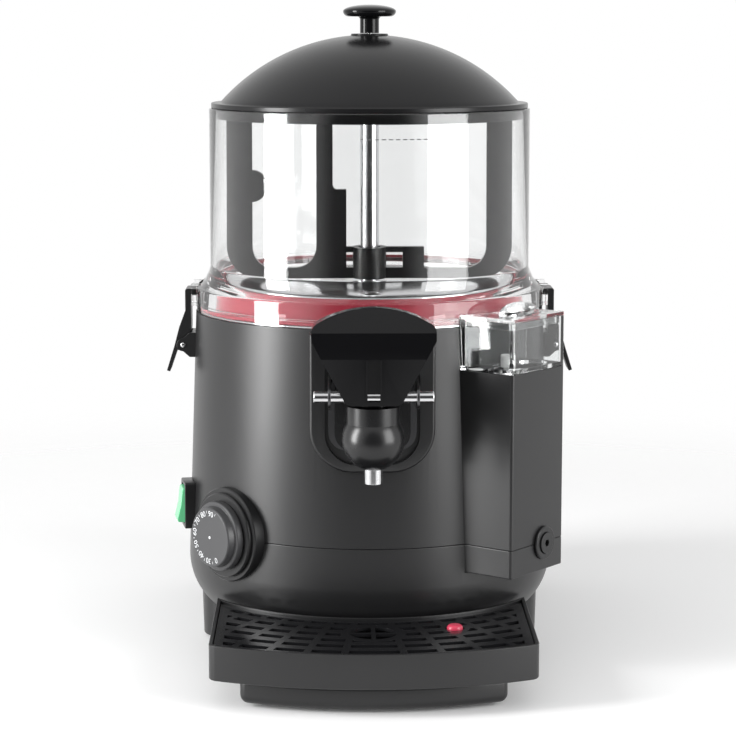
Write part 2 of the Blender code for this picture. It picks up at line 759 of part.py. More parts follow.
def outward(piece, angle, height, side=0):
    """Lay an upright piece along the outward direction at an angle and a height."""
    level = Matrix.Rotation(math.pi / 2, 4, "Y")
    return reshape(piece, facing(angle) @ Matrix.Translation((0, side, height)) @ level)


def drain_rod(name, radius, near, far, segments=MEDIUM_SEGMENTS):
    """Cylinder on the drain's axis, between two distances behind the column's face."""
    made = rod(name, radius, (0, 0, WATER_FACE_REACH - far), (0, 0, WATER_FACE_REACH - near), segments)
    return outward(made, COLUMN_ANGLE, DRAIN_Z, DRAIN_SIDE)


def dial_turned(name, profile, closed=True):
    """Turned piece on the dial's axis, from (radius, reach) points."""
    return outward(turned(name, profile, MEDIUM_SEGMENTS, closed), DIAL_ANGLE, DIAL_Z)


def switch_box(name, half_width, half_height, low_reach, high_reach):
    """Round-cornered block on the switch's axis."""
    outline = rounded_box_outline(-half_height, half_height, -half_width, half_width, SWITCH_CORNER_RADIUS, 2)
    return outward(prism(name, outline, low_reach, high_reach), SWITCH_ANGLE, SWITCH_Z)


def toe_outline(margin):
    """Plan of the toe with its bowed front, drawn in by a margin."""
    half = TOE_HALF_WIDTH - margin
    reach = TOE_REACH - margin
    bow_radius = (TOE_HALF_WIDTH ** 2 + TOE_BOW ** 2) / (2 * TOE_BOW) - margin
    swing = math.asin(half / bow_radius)
    front = arc((0, bow_radius - reach), bow_radius, -math.pi / 2 - swing, -math.pi / 2 + swing, 12)
    rear = COLUMN_CORNER_RADIUS - COLUMN_FRONT
    return front + [(half, rear), (-half, rear)]


def column_block(name, margin, low, high):
    """Rear column, wider at its top, drawn in by a margin."""
    outline = rounded_box_outline(
        -COLUMN_HALF_WIDTH_LOW + margin, COLUMN_HALF_WIDTH_LOW - margin,
        -COLUMN_FRONT + margin, REAR_REACH - margin, COLUMN_CORNER_RADIUS - margin, 5,
    )
    made = prism(name, outline, low, high)
    spread = (COLUMN_HALF_WIDTH_HIGH - COLUMN_HALF_WIDTH_LOW) / (COLUMN_TOP_Z - FOOT_HEIGHT)
    for corner in made.data.vertices:
        corner.co.x += math.copysign(spread * (corner.co.z - FOOT_HEIGHT), corner.co.x)
    return made


def foot_places():
    """Name and place of each foot."""
    side = TOE_HALF_WIDTH - FOOT_INSET_X
    front = -TOE_REACH + FOOT_TOE_INSET_Y
    rear = REAR_REACH - FOOT_TOE_INSET_Y
    return {
        "foot_front_left": (-side, front), "foot_front_right": (side, front),
        "foot_rear_left": (-side, rear), "foot_rear_right": (side, rear),
    }


def build_stand():
    """Toe and rear column in one moulding, with its base plate, feet and rear cover."""
    plate_top = FOOT_HEIGHT + BASE_PLATE_THICKNESS
    hollow_top = TOE_TOP_Z - STAND_WALL
    toe_margin = STAND_WALL + TOE_LOWER_RADIUS
    stand = prism("stand_housing", toe_outline(0), FOOT_HEIGHT, TOE_TOP_Z)
    bevel_where(stand, lambda co: co.z > TOE_TOP_Z - WELD_DISTANCE, TOE_EDGE_RADIUS)
    bevel_where(stand, lambda co: co.z < FOOT_HEIGHT + WELD_DISTANCE, TOE_LOWER_RADIUS, 3)
    column = column_block("column", 0, FOOT_HEIGHT, COLUMN_TOP_Z)
    bevel_where(column, lambda co: co.z > COLUMN_TOP_Z - WELD_DISTANCE, COLUMN_TOP_EDGE_RADIUS, 3)
    join(stand, column)
    cut(stand, housing_solid("cradle", GAP, HOUSING_BOTTOM_Z, COLUMN_TOP_Z + OVERRUN))
    under = prism("under", toe_outline(toe_margin), -OVERRUN, hollow_top)
    join(under, column_block("under_column", STAND_WALL, -OVERRUN, hollow_top))
    cut(stand, under)
    cut(stand, block(
        "pocket", (-POCKET_HALF_WIDTH, REAR_REACH - POCKET_DEPTH, POCKET_LOW_Z),
        (POCKET_HALF_WIDTH, REAR_REACH + OVERRUN, POCKET_HIGH_Z),
    ))
    seat = POCKET_HALF_WIDTH + COVER_LIP
    cut(stand, block(
        "cover_seat", (-seat, REAR_REACH - COVER_SEAT - COVER_THICKNESS, POCKET_LOW_Z - COVER_LIP),
        (seat, REAR_REACH + OVERRUN, POCKET_HIGH_Z + COVER_LIP),
    ))

    plate = prism("base_plate", toe_outline(toe_margin + GAP), FOOT_HEIGHT, plate_top)
    join(plate, column_block("plate_column", STAND_WALL + GAP, FOOT_HEIGHT, plate_top))
    feet = []
    for name, (x, y) in foot_places().items():
        profile = [
            (0, 0), (FOOT_RADIUS, 0), (FOOT_RADIUS, FOOT_HEIGHT - GAP), (FOOT_STEM_RADIUS, FOOT_HEIGHT - GAP),
            (FOOT_STEM_RADIUS, plate_top + BASE_PLATE_THICKNESS), (0, plate_top + BASE_PLATE_THICKNESS),
        ]
        foot = turned(name, profile, SMALL_SEGMENTS, closed=False)
        feet.append(reshape(foot, Matrix.Translation((x, y, 0))))
        cut(plate, rod(
            "foot_hole", FOOT_STEM_RADIUS + GAP, (x, y, FOOT_HEIGHT - OVERRUN), (x, y, plate_top + OVERRUN),
        ))
    return [stand, plate, *feet, *build_rear_cover()]


def build_rear_cover():
    """Cover plate with vents over the rear pocket, and the power inlet in it."""
    outer = REAR_REACH - COVER_SEAT
    inner = outer - COVER_THICKNESS
    half = POCKET_HALF_WIDTH + COVER_LIP - GAP
    cover = block(
        "rear_cover", (-half, inner + GAP, POCKET_LOW_Z - COVER_LIP + GAP),
        (half, outer, POCKET_HIGH_Z + COVER_LIP - GAP),
    )
    for row in range(VENT_COUNT):
        height = VENT_FIRST_Z + row * VENT_PITCH
        slot = rounded_box_outline(
            -VENT_HALF_LENGTH, VENT_HALF_LENGTH, height - VENT_WIDTH / 2, height + VENT_WIDTH / 2,
            VENT_WIDTH / 2 - WELD_DISTANCE, 1,
        )
        cut(cover, upright_outline("vent", slot, inner - OVERRUN, outer + OVERRUN))
    hole = INLET_HALF_WIDTH + GAP
    tall = INLET_HALF_HEIGHT + GAP
    cut(cover, block(
        "inlet_hole", (INLET_X - hole, inner - OVERRUN, INLET_Z - tall),
        (INLET_X + hole, outer + OVERRUN, INLET_Z + tall),
    ))
    face = outer + GAP + INLET_FLANGE_THICKNESS
    inlet = block(
        "power_inlet",
        (INLET_X - INLET_HALF_WIDTH, face - INLET_DEPTH, INLET_Z - INLET_HALF_HEIGHT),
        (INLET_X + INLET_HALF_WIDTH, face - INLET_FLANGE_THICKNESS / 2, INLET_Z + INLET_HALF_HEIGHT),
    )
    wide = INLET_HALF_WIDTH + INLET_FLANGE_MARGIN
    high = INLET_HALF_HEIGHT + INLET_FLANGE_MARGIN
    join(inlet, block(
        "inlet_flange", (INLET_X - wide, outer + GAP, INLET_Z - high), (INLET_X + wide, face, INLET_Z + high),
    ))
    mouth_half = INLET_HALF_WIDTH - INLET_WALL
    mouth_tall = INLET_HALF_HEIGHT - INLET_WALL
    cut(inlet, block(
        "inlet_mouth", (INLET_X - mouth_half, face - INLET_POCKET_DEPTH, INLET_Z - mouth_tall),
        (INLET_X + mouth_half, face + OVERRUN, INLET_Z + mouth_tall),
    ))
    for across, up in ((-1, -1), (1, -1), (0, 1)):
        x = INLET_X + across * INLET_PIN_SPREAD
        z = INLET_Z + up * INLET_PIN_ROW
        root = face - INLET_POCKET_DEPTH
        join(inlet, block(
            "inlet_pin", (x - INLET_PIN_HALF_THICKNESS, root - INLET_WALL, z - INLET_PIN_HALF_WIDTH),
            (x + INLET_PIN_HALF_THICKNESS, root + INLET_PIN_LENGTH, z + INLET_PIN_HALF_WIDTH),
        ))
    return [cover, inlet]


def cut_wall_holes(shell):
    """Holes through the round housing for the dial, the switch and the drain."""
    cut(shell, dial_turned(
        "dial_hole", [(0, THERMOSTAT_REACH), (BUSHING_RADIUS + GAP, THERMOSTAT_REACH),
                      (BUSHING_RADIUS + GAP, BEZEL_REACH), (0, BEZEL_REACH)], closed=False,
    ))
    margin = SWITCH_BODY_MARGIN - GAP
    cut(shell, switch_box(
        "switch_hole", SWITCH_HALF_WIDTH - margin, SWITCH_HALF_HEIGHT - margin, SWITCH_BODY_REACH,
        SWITCH_REACH,
    ))
    cut(shell, drain_rod("drain_hole", DRAIN_BUSH_RADIUS + GAP, -OVERRUN, DRAIN_DEPTH + GAP))


def build_lower_housing():
    """Rounded foot of the housing, with the lower end of the water column."""
    top = SEAM_Z - GAP / 2
    shell = housing_solid("lower_housing", 0, HOUSING_BOTTOM_Z, top)
    bevel_where(
        shell, lambda co: co.z > top - WELD_DISTANCE and co.xy.length > HOUSING_FLAT_RADIUS, SEAM_CHAMFER,
        1,
    )
    foot = water_prism("column_foot", 0, WATER_BOTTOM_Z, top)
    join(shell, foot)
    cut(shell, housing_solid("inside", -HOUSING_WALL, HOUSING_BOTTOM_Z, top + OVERRUN))
    cut_wall_holes(shell)
    return shell


def build_upper_housing():
    """Main drum of the housing with its tap pad, recess, water column and well."""
    low = SEAM_Z + GAP / 2
    inside_top = HOUSING_TOP_Z - HOUSING_FLANGE
    shell = housing_solid("upper_housing", 0, low, HOUSING_TOP_Z)
    bevel_where(
        shell, lambda co: co.z < low + WELD_DISTANCE and co.xy.length > HOUSING_FLAT_RADIUS, SEAM_CHAMFER,
        1,
    )
    bevel_where(
        shell, lambda co: co.z > HOUSING_TOP_Z - WELD_DISTANCE and co.xy.length > HOUSING_MOUTH_RADIUS,
        HOUSING_TOP_EDGE, 2,
    )
    column = water_prism("column", 0, low, WATER_DECK_Z)
    pad_line = rounded_box_outline(
        -PAD_HALF_WIDTH, PAD_HALF_WIDTH, PAD_BOTTOM_Z, PAD_TOP_Z + PAD_CORNER_RADIUS, PAD_CORNER_RADIUS, 6,
    )
    pad = upright_outline("pad", pad_line, PAD_FACE_Y, PAD_FACE_Y + PAD_CORNER_RADIUS)
    bevel_where(pad, lambda co: co.y < PAD_FACE_Y + WELD_DISTANCE, PAD_EDGE_RADIUS)
    pad_half = PAD_HALF_WIDTH + OVERRUN
    cut(pad, block(
        "pad_top", (-pad_half, PAD_FACE_Y - OVERRUN, PAD_TOP_Z),
        (pad_half, PAD_FACE_Y + PAD_CORNER_RADIUS + OVERRUN, PAD_TOP_Z + PAD_CORNER_RADIUS + OVERRUN),
    ))
    join(shell, column, pad)
    cut(shell, housing_solid("inside", -HOUSING_WALL, low - OVERRUN, inside_top))
    mouth = rod(
        "mouth", HOUSING_MOUTH_RADIUS, (0, 0, inside_top - OVERRUN), (0, 0, HOUSING_TOP_Z + OVERRUN),
        LARGE_SEGMENTS,
    )
    recess_line = rounded_box_outline(
        -RECESS_HALF_WIDTH, RECESS_HALF_WIDTH, RECESS_BOTTOM_Z, RECESS_TOP_Z + RECESS_CORNER_RADIUS,
        RECESS_CORNER_RADIUS, 5,
    )
    recess = upright_outline("recess", recess_line, PAD_FACE_Y - OVERRUN, PAD_FACE_Y + RECESS_DEPTH)
    cut(recess, block(
        "recess_top", (-PAD_HALF_WIDTH, PAD_FACE_Y - RECESS_CORNER_RADIUS, RECESS_TOP_Z),
        (PAD_HALF_WIDTH, PAD_FACE_Y + RECESS_CORNER_RADIUS, RECESS_TOP_Z + RECESS_CORNER_RADIUS + OVERRUN),
    ))
    outlet = rod(
        "outlet_hole", OUTLET_TUBE_RADIUS + GAP, (0, PAD_FACE_Y - OVERRUN, TAP_BARREL_Z),
        (0, OUTLET_Y, TAP_BARREL_Z),
    )
    well = well_prism("well", 0, WELL_BOTTOM_Z, WATER_DECK_Z + OVERRUN)
    cut(shell, mouth, recess, outlet, well)
    cut_wall_holes(shell)
    return shell


def build_water_filler():
    """Clear box on the water column, its lift-off lid and the level float."""
    low = WATER_DECK_Z + GAP
    box = water_prism("water_box", 0, low, BOX_TOP_Z)
    cut(box, housing_solid("housing_side", BOX_HOUSING_GAP, low - OVERRUN, HOUSING_TOP_Z - GAP))
    bowl_radius = BOWL_COLLAR_RADIUS + BOX_HOUSING_GAP
    cut(box, rod("bowl_side", bowl_radius, (0, 0, low), (0, 0, BOX_TOP_Z + OVERRUN), LARGE_SEGMENTS))
    hollow = water_prism("box_hollow", BOX_WALL, low + BOX_WALL, BOX_TOP_Z + OVERRUN)
    back = bowl_radius + BOX_WALL
    cut(hollow, rod("back_wall", back, (0, 0, low), (0, 0, BOX_TOP_Z + 2 * OVERRUN), LARGE_SEGMENTS))
    cut(box, hollow, well_prism("box_mouth", 0, low - OVERRUN, low + BOX_WALL + OVERRUN))

    plate_low = BOX_TOP_Z + GAP
    lid = water_prism("water_box_lid", 0, plate_low, plate_low + LID_PLATE)
    cut(lid, rod(
        "bowl_side", bowl_radius, (0, 0, low), (0, 0, plate_low + LID_PLATE + OVERRUN), LARGE_SEGMENTS,
    ))
    rim = water_prism("lid_rim", BOX_WALL + LID_RIM_GAP, BOX_TOP_Z - LID_RIM_DEPTH, plate_low + LID_PLATE / 2)
    rim_back = back + LID_RIM_GAP
    cut(rim, rod("back_wall", rim_back, (0, 0, low), (0, 0, BOX_TOP_Z + 2 * OVERRUN), LARGE_SEGMENTS))
    rim_hollow = water_prism(
        "rim_hollow", 2 * BOX_WALL + LID_RIM_GAP, BOX_TOP_Z - LID_RIM_DEPTH - OVERRUN, plate_low,
    )
    cut(rim_hollow, rod(
        "back_wall", rim_back + BOX_WALL, (0, 0, low - OVERRUN), (0, 0, BOX_TOP_Z + 2 * OVERRUN),
        LARGE_SEGMENTS,
    ))
    cut(rim, rim_hollow)
    join(lid, rim)
    dome = [(0, plate_low + LID_PLATE / 2), (LID_GRIP_RADIUS, plate_low + LID_PLATE / 2)]
    for across, up in arc((0, 0), 1, math.pi / 12, math.pi / 2, 4):
        dome.append((LID_GRIP_RADIUS * across, plate_low + LID_PLATE + LID_GRIP_HEIGHT * up))
    dome[-1] = (0, dome[-1][1])
    grip = turned("grip", dome, MEDIUM_SEGMENTS, closed=False)
    flatten = Matrix.Diagonal((LID_GRIP_FLATTEN_SHARE, 1, 1, 1))
    join(lid, reshape(grip, facing(COLUMN_ANGLE) @ Matrix.Translation(well_centre()) @ flatten))

    rest = WELL_BOTTOM_Z + GAP
    profile = [
        (0, rest), (FLOAT_RADIUS, rest), (FLOAT_RADIUS, rest + FLOAT_HEIGHT),
        (FLOAT_STEM_RADIUS, rest + FLOAT_HEIGHT),
        (FLOAT_STEM_RADIUS, FLOAT_TOP_Z - FLOAT_TIP_HEIGHT),
        (FLOAT_TIP_RADIUS, FLOAT_TOP_Z - FLOAT_TIP_HEIGHT),
        (FLOAT_TIP_RADIUS, FLOAT_TOP_Z), (0, FLOAT_TOP_Z),
    ]
    level = turned("water_float", profile, SMALL_SEGMENTS, closed=False)
    place = well_centre() + Vector((0, -FLOAT_OFFSET, 0))
    reshape(level, facing(COLUMN_ANGLE) @ Matrix.Translation(place))
    return [box, lid, level]


def build_drain():
    """Bush in the column's face with its screwed plug."""
    face = WATER_FACE_REACH + GAP
    flange_top = face + DRAIN_FLANGE_THICKNESS
    round_edge = DRAIN_FLANGE_THICKNESS / 3
    seat = flange_top - DRAIN_PLUG_HEAD / 2
    bore = DRAIN_PLUG_RADIUS + GAP
    head_room = DRAIN_PLUG_HEAD_RADIUS + GAP
    back = WATER_FACE_REACH - DRAIN_DEPTH
    bush = turned("drain_bush", [
        (bore, back), (DRAIN_BUSH_RADIUS, back), (DRAIN_BUSH_RADIUS, face), (DRAIN_FLANGE_RADIUS, face),
        (DRAIN_FLANGE_RADIUS, flange_top - round_edge), (DRAIN_FLANGE_RADIUS - round_edge, flange_top),
        (head_room, flange_top), (head_room, seat), (bore, seat),
    ], MEDIUM_SEGMENTS)
    head_low = seat + GAP
    head_top = head_low + DRAIN_PLUG_HEAD
    plug = turned("drain_plug", [
        (0, back), (DRAIN_PLUG_RADIUS, back), (DRAIN_PLUG_RADIUS, head_low),
        (DRAIN_PLUG_HEAD_RADIUS, head_low),
        (DRAIN_PLUG_HEAD_RADIUS, head_top), (0, head_top),
    ], MEDIUM_SEGMENTS, closed=False)
    cut(plug, rod("key", DRAIN_KEY_RADIUS, (0, 0, head_top - DRAIN_KEY_DEPTH), (0, 0, head_top + OVERRUN), 6))
    for piece in (bush, plug):
        outward(piece, COLUMN_ANGLE, DRAIN_Z, DRAIN_SIDE)
    set_origin(plug, facing(COLUMN_ANGLE) @ Vector((head_top, DRAIN_SIDE, DRAIN_Z)))
    return [bush, plug]


def build_bowl():
    """Raised steel floor, red seal and clear bowl with its latch lugs."""
    flange_low = HOUSING_TOP_Z + GAP
    flange_top = flange_low + FLOOR_SHEET
    wall_inner = FLOOR_WALL_RADIUS - FLOOR_SHEET
    tube_hole = TUBE_RADIUS + GAP
    floor = turned("bowl_floor", [
        (FLOOR_FLANGE_RADIUS, flange_low), (FLOOR_FLANGE_RADIUS, flange_top), (FLOOR_WALL_RADIUS, flange_top),
        (FLOOR_WALL_RADIUS, FLOOR_TOP_Z - FLOOR_SHEET), (FLOOR_WALL_RADIUS - FLOOR_SHEET, FLOOR_TOP_Z),
        (tube_hole, FLOOR_TOP_Z), (tube_hole, FLOOR_TOP_Z - FLOOR_SHEET),
        (wall_inner, FLOOR_TOP_Z - FLOOR_SHEET), (wall_inner, flange_low),
    ])
    cut(floor, rod(
        "outlet", OUTLET_HOLE_RADIUS, (0, OUTLET_Y, FLOOR_TOP_Z - OVERRUN),
        (0, OUTLET_Y, FLOOR_TOP_Z + OVERRUN),
    ))
    seal_low = flange_top + GAP
    foot_top = seal_low + SEAL_FOOT_HEIGHT
    lip_top = FLOOR_TOP_Z - SEAL_TOP_DROP
    seal_inner = FLOOR_WALL_RADIUS + GAP
    seal = turned("bowl_seal", [
        (FLOOR_FLANGE_RADIUS - GAP, seal_low), (FLOOR_FLANGE_RADIUS - GAP, foot_top),
        (SEAL_LIP_RADIUS, foot_top),
        (SEAL_LIP_RADIUS, lip_top), (seal_inner, lip_top), (seal_inner, seal_low),
    ])
    seat = foot_top + GAP
    bowl = turned("bowl", [
        (BOWL_RADIUS - BOWL_RIM_ROUND, BOWL_TOP_Z), (BOWL_RADIUS, BOWL_TOP_Z - BOWL_RIM_ROUND),
        (BOWL_RADIUS, BOWL_FLARE_Z), (BOWL_FLARE_RADIUS, BOWL_STEP_Z),
        ((BOWL_FLARE_RADIUS + BOWL_COLLAR_RADIUS) / 2, (BOWL_STEP_Z + 2 * BOWL_COLLAR_TOP_Z) / 3),
        (BOWL_COLLAR_RADIUS - BOWL_RIM_ROUND, BOWL_COLLAR_TOP_Z),
        (BOWL_COLLAR_RADIUS, BOWL_COLLAR_TOP_Z - 2 * BOWL_RIM_ROUND),
        (BOWL_COLLAR_RADIUS, HOUSING_TOP_Z + 2 * GAP), (BOWL_SKIRT_RADIUS, HOUSING_TOP_Z + 2 * GAP),
        (BOWL_SKIRT_RADIUS, seat), (BOWL_BORE_RADIUS, seat), (BOWL_BORE_RADIUS, BOWL_TOP_Z),
    ])
    for side in (-1, 1):
        reach = side * LUG_REACH
        root = side * (BOWL_FLARE_RADIUS - BOWL_RIM_ROUND)
        lug = block(
            "lug", (min(reach, root), -LUG_HALF_WIDTH, LUG_LOW_Z),
            (max(reach, root), LUG_HALF_WIDTH, LUG_HIGH_Z),
        )
        channel_start = side * LUG_CHANNEL_REACH
        channel_end = side * (LUG_REACH + OVERRUN)
        cut(lug, block(
            "channel", (min(channel_start, channel_end), -LUG_CHANNEL_HALF_WIDTH, LUG_LEDGE_Z),
            (max(channel_start, channel_end), LUG_CHANNEL_HALF_WIDTH, LUG_HIGH_Z + OVERRUN),
        ))
        cut(lug, rod(
            "seal_room", BOWL_SKIRT_RADIUS, (0, 0, LUG_LOW_Z - OVERRUN), (0, 0, seat), LARGE_SEGMENTS,
        ))
        cut(bowl, block(
            "notch", (min(channel_start, channel_end), -LUG_CHANNEL_HALF_WIDTH, LUG_LEDGE_Z),
            (max(channel_start, channel_end), LUG_CHANNEL_HALF_WIDTH, LUG_HIGH_Z + OVERRUN),
        ))
        join(bowl, lug)
    return [floor, seal, bowl]


def latch_outline():
    """Side view of the right latch, from its hook to its finger lip."""
    hook_low = LUG_LEDGE_Z + GAP
    hook_high = hook_low + LATCH_HOOK_THICKNESS
    return [
        (LATCH_HOOK_TIP_X, hook_low), (LATCH_HOOK_TIP_X, hook_high - LATCH_HOOK_THICKNESS / 4),
        (LATCH_HOOK_TIP_X + LATCH_HOOK_THICKNESS / 4, hook_high),
        (LATCH_SHOULDER_X - LATCH_HOOK_THICKNESS / 4, hook_high),
        (LATCH_SHOULDER_X, hook_high - LATCH_HOOK_THICKNESS / 4), (LATCH_SHOULDER_X, HOUSING_TOP_Z),
        (LATCH_KNEE_X, LATCH_KNEE_Z), (LATCH_HEEL_X, LATCH_HEEL_Z + LATCH_LIP_THICKNESS),
        (LATCH_LIP_X, LATCH_LIP_Z + LATCH_LIP_THICKNESS / 3),
        (LATCH_LIP_X - LATCH_LIP_THICKNESS, LATCH_LIP_Z),
        (LATCH_HEEL_X - LATCH_LIP_THICKNESS, LATCH_HEEL_Z),
        *arc((LATCH_PIVOT_X, LATCH_PIVOT_Z), LATCH_BOSS_RADIUS, -math.pi / 2, -math.pi, BOSS_STEPS),
        (LATCH_INNER_X, LATCH_KNEE_Z), (LATCH_INNER_X, hook_low),
    ]


def build_latches():
    """A hooked lever and its bracket with the pin, on each side."""
    pieces = []
    for side, name in ((-1, "left"), (1, "right")):
        line = [(side * x, z) for x, z in latch_outline()]
        lever = upright_outline("latch_" + name, line, -LATCH_HALF_WIDTH, LATCH_HALF_WIDTH)
        pivot = (side * LATCH_PIVOT_X, 0, LATCH_PIVOT_Z)
        wide = LATCH_HALF_WIDTH + OVERRUN
        cut(lever, rod(
            "bore", LATCH_PIN_RADIUS + GAP, (pivot[0], -wide, LATCH_PIVOT_Z), (pivot[0], wide, LATCH_PIVOT_Z),
        ))
        inner = LATCH_HALF_WIDTH + GAP
        outer = inner + BRACKET_EAR_THICKNESS
        back = housing_radius(LATCH_PIVOT_Z) - OVERRUN
        low = LATCH_PIVOT_Z - BRACKET_HALF_HEIGHT
        high = LATCH_PIVOT_Z + BRACKET_HALF_HEIGHT
        face = housing_radius(low) + GAP + BRACKET_BACK
        ends = sorted((side * back, side * face))
        bracket = block("latch_bracket_" + name, (ends[0], -outer, low), (ends[1], outer, high))
        ear_line = [
            (back, low), (LATCH_PIVOT_X - BRACKET_EAR_RADIUS, low),
            *arc((LATCH_PIVOT_X, LATCH_PIVOT_Z), BRACKET_EAR_RADIUS, -math.pi / 2, math.pi / 2, 8),
            (LATCH_PIVOT_X - BRACKET_EAR_RADIUS, high), (back, high),
        ]
        ear_line = [(side * x, z) for x, z in ear_line]
        for near, far in ((-outer, -inner), (inner, outer)):
            join(bracket, upright_outline("ear", ear_line, near, far))
        cut(bracket, housing_solid("wall", GAP, low - OVERRUN, high + OVERRUN))
        middle = inner + BRACKET_EAR_THICKNESS / 2
        join(bracket, rod(
            "pin", LATCH_PIN_RADIUS, (pivot[0], -middle, LATCH_PIVOT_Z), (pivot[0], middle, LATCH_PIVOT_Z),
        ))
        set_origin(lever, pivot)
        pieces += [bracket, lever]
    return pieces


def build_drive():
    """Water bath, heater, frame, gearmotor, shaft and the fixed tube in the bowl."""
    outer = BATH_RADIUS
    inner = BATH_RADIUS - BATH_SHEET
    chimney = CHIMNEY_RADIUS
    inside_floor = BATH_BOTTOM_Z + BATH_SHEET
    bath = turned("water_bath", [
        (outer, BATH_BOTTOM_Z), (outer, BATH_TOP_Z), (inner, BATH_TOP_Z), (inner, inside_floor),
        (chimney + BATH_SHEET, inside_floor), (chimney + BATH_SHEET, BATH_TOP_Z), (chimney, BATH_TOP_Z),
        (chimney, BATH_BOTTOM_Z),
    ], MEDIUM_SEGMENTS)
    height = inside_floor + GAP + HEATER_TUBE_RADIUS
    half_gap = HEATER_OPENING / 2
    ring = arc((0, 0), HEATER_RING_RADIUS, half_gap, math.tau - half_gap, HEATER_STEPS)
    route = [(ring[0][0], ring[0][1], BATH_BOTTOM_Z - HEATER_LEG)]
    route += [(x, y, height) for x, y in ring]
    route.append((ring[-1][0], ring[-1][1], BATH_BOTTOM_Z - HEATER_LEG))
    heater = tube_along("heating_element", route, HEATER_TUBE_RADIUS, 1)

    plate_top = BATH_BOTTOM_Z - GAP
    plate_low = plate_top - FRAME_PLATE
    floor_z = HOUSING_BOTTOM_Z + HOUSING_WALL + GAP
    frame = rod("motor_frame", FRAME_RADIUS, (0, 0, plate_low), (0, 0, plate_top), MEDIUM_SEGMENTS)
    for leg in range(FRAME_LEG_COUNT):
        strut = block(
            "leg", (FRAME_RADIUS - FRAME_LEG_THICKNESS - GAP, -FRAME_LEG_HALF_WIDTH, floor_z),
            (FRAME_RADIUS - GAP, FRAME_LEG_HALF_WIDTH, plate_low + FRAME_PLATE / 2),
        )
        reshape(strut, Matrix.Rotation(math.tau * leg / FRAME_LEG_COUNT + math.pi / 2, 4, "Z"))
        join(frame, strut)
    cut(frame, rod("shaft_hole", FRAME_HOLE_RADIUS, (0, 0, plate_low - OVERRUN), (0, 0, plate_top + OVERRUN)))
    for x, y in (ring[0], ring[-1]):
        for carrier, hole_top in ((bath, height), (frame, plate_top + OVERRUN)):
            cut(carrier, rod(
                "heater_hole", HEATER_TUBE_RADIUS + 2 * GAP, (x, y, plate_low - OVERRUN), (x, y, hole_top),
            ))

    box_top = plate_low - GAP
    box_low = box_top - GEARBOX_HEIGHT
    half = GEARBOX_HALF_WIDTH
    motor = prism(
        "gearmotor", rounded_box_outline(-half, half, -half, half, GEARBOX_CORNER_RADIUS), box_low, box_top,
    )
    join(motor, rod(
        "can", MOTOR_RADIUS, (0, 0, box_low - MOTOR_HEIGHT), (0, 0, box_low + GAP), MEDIUM_SEGMENTS,
    ))
    socket_floor = box_top - SHAFT_SOCKET
    cut(motor, rod("socket", SHAFT_RADIUS + GAP, (0, 0, socket_floor), (0, 0, box_top + OVERRUN)))

    shaft = rod("drive_shaft", SHAFT_RADIUS, (0, 0, socket_floor + GAP), (0, 0, SHAFT_TOP_Z))
    collar_low = plate_top + 2 * GAP
    collar = rod(
        "drive_coupling", COUPLING_RADIUS, (0, 0, collar_low), (0, 0, collar_low + COUPLING_HEIGHT),
        MEDIUM_SEGMENTS,
    )
    cut(collar, rod(
        "collar_bore", SHAFT_RADIUS + GAP, (0, 0, collar_low - OVERRUN),
        (0, 0, collar_low + COUPLING_HEIGHT + OVERRUN),
    ))
    flange_low = FLOOR_TOP_Z + GAP
    tube = turned("centre_tube", [
        (TUBE_BORE_RADIUS, FLOOR_TOP_Z - OVERRUN), (TUBE_RADIUS, FLOOR_TOP_Z - OVERRUN),
        (TUBE_RADIUS, flange_low),
        (TUBE_FLANGE_RADIUS, flange_low), (TUBE_FLANGE_RADIUS, flange_low + TUBE_FLANGE),
        (TUBE_RADIUS, flange_low + TUBE_FLANGE), (TUBE_RADIUS, TUBE_TOP_Z), (TUBE_BORE_RADIUS, TUBE_TOP_Z),
    ], MEDIUM_SEGMENTS)
    cap_low = TUBE_TOP_Z + GAP
    cap = turned("shaft_cap", [
        (SHAFT_RADIUS + GAP, cap_low), (CAP_RADIUS - CAP_THICKNESS / 3, cap_low),
        (CAP_RADIUS, cap_low + CAP_THICKNESS / 3), (CAP_RADIUS, cap_low + 2 * CAP_THICKNESS / 3),
        (CAP_RADIUS - CAP_THICKNESS / 3, cap_low + CAP_THICKNESS),
        (SHAFT_RADIUS + GAP, cap_low + CAP_THICKNESS),
    ], MEDIUM_SEGMENTS)
    return [bath, heater, frame, motor, shaft, collar, tube, cap]


def stirrer_window(name, low_x, high_x, low_z, high_z, radius):
    """Cutter for one opening of the stirrer's frame."""
    depth = STIRRER_HALF_THICKNESS + OVERRUN
    return upright_outline(name, rounded_box_outline(low_x, high_x, low_z, high_z, radius), -depth, depth)


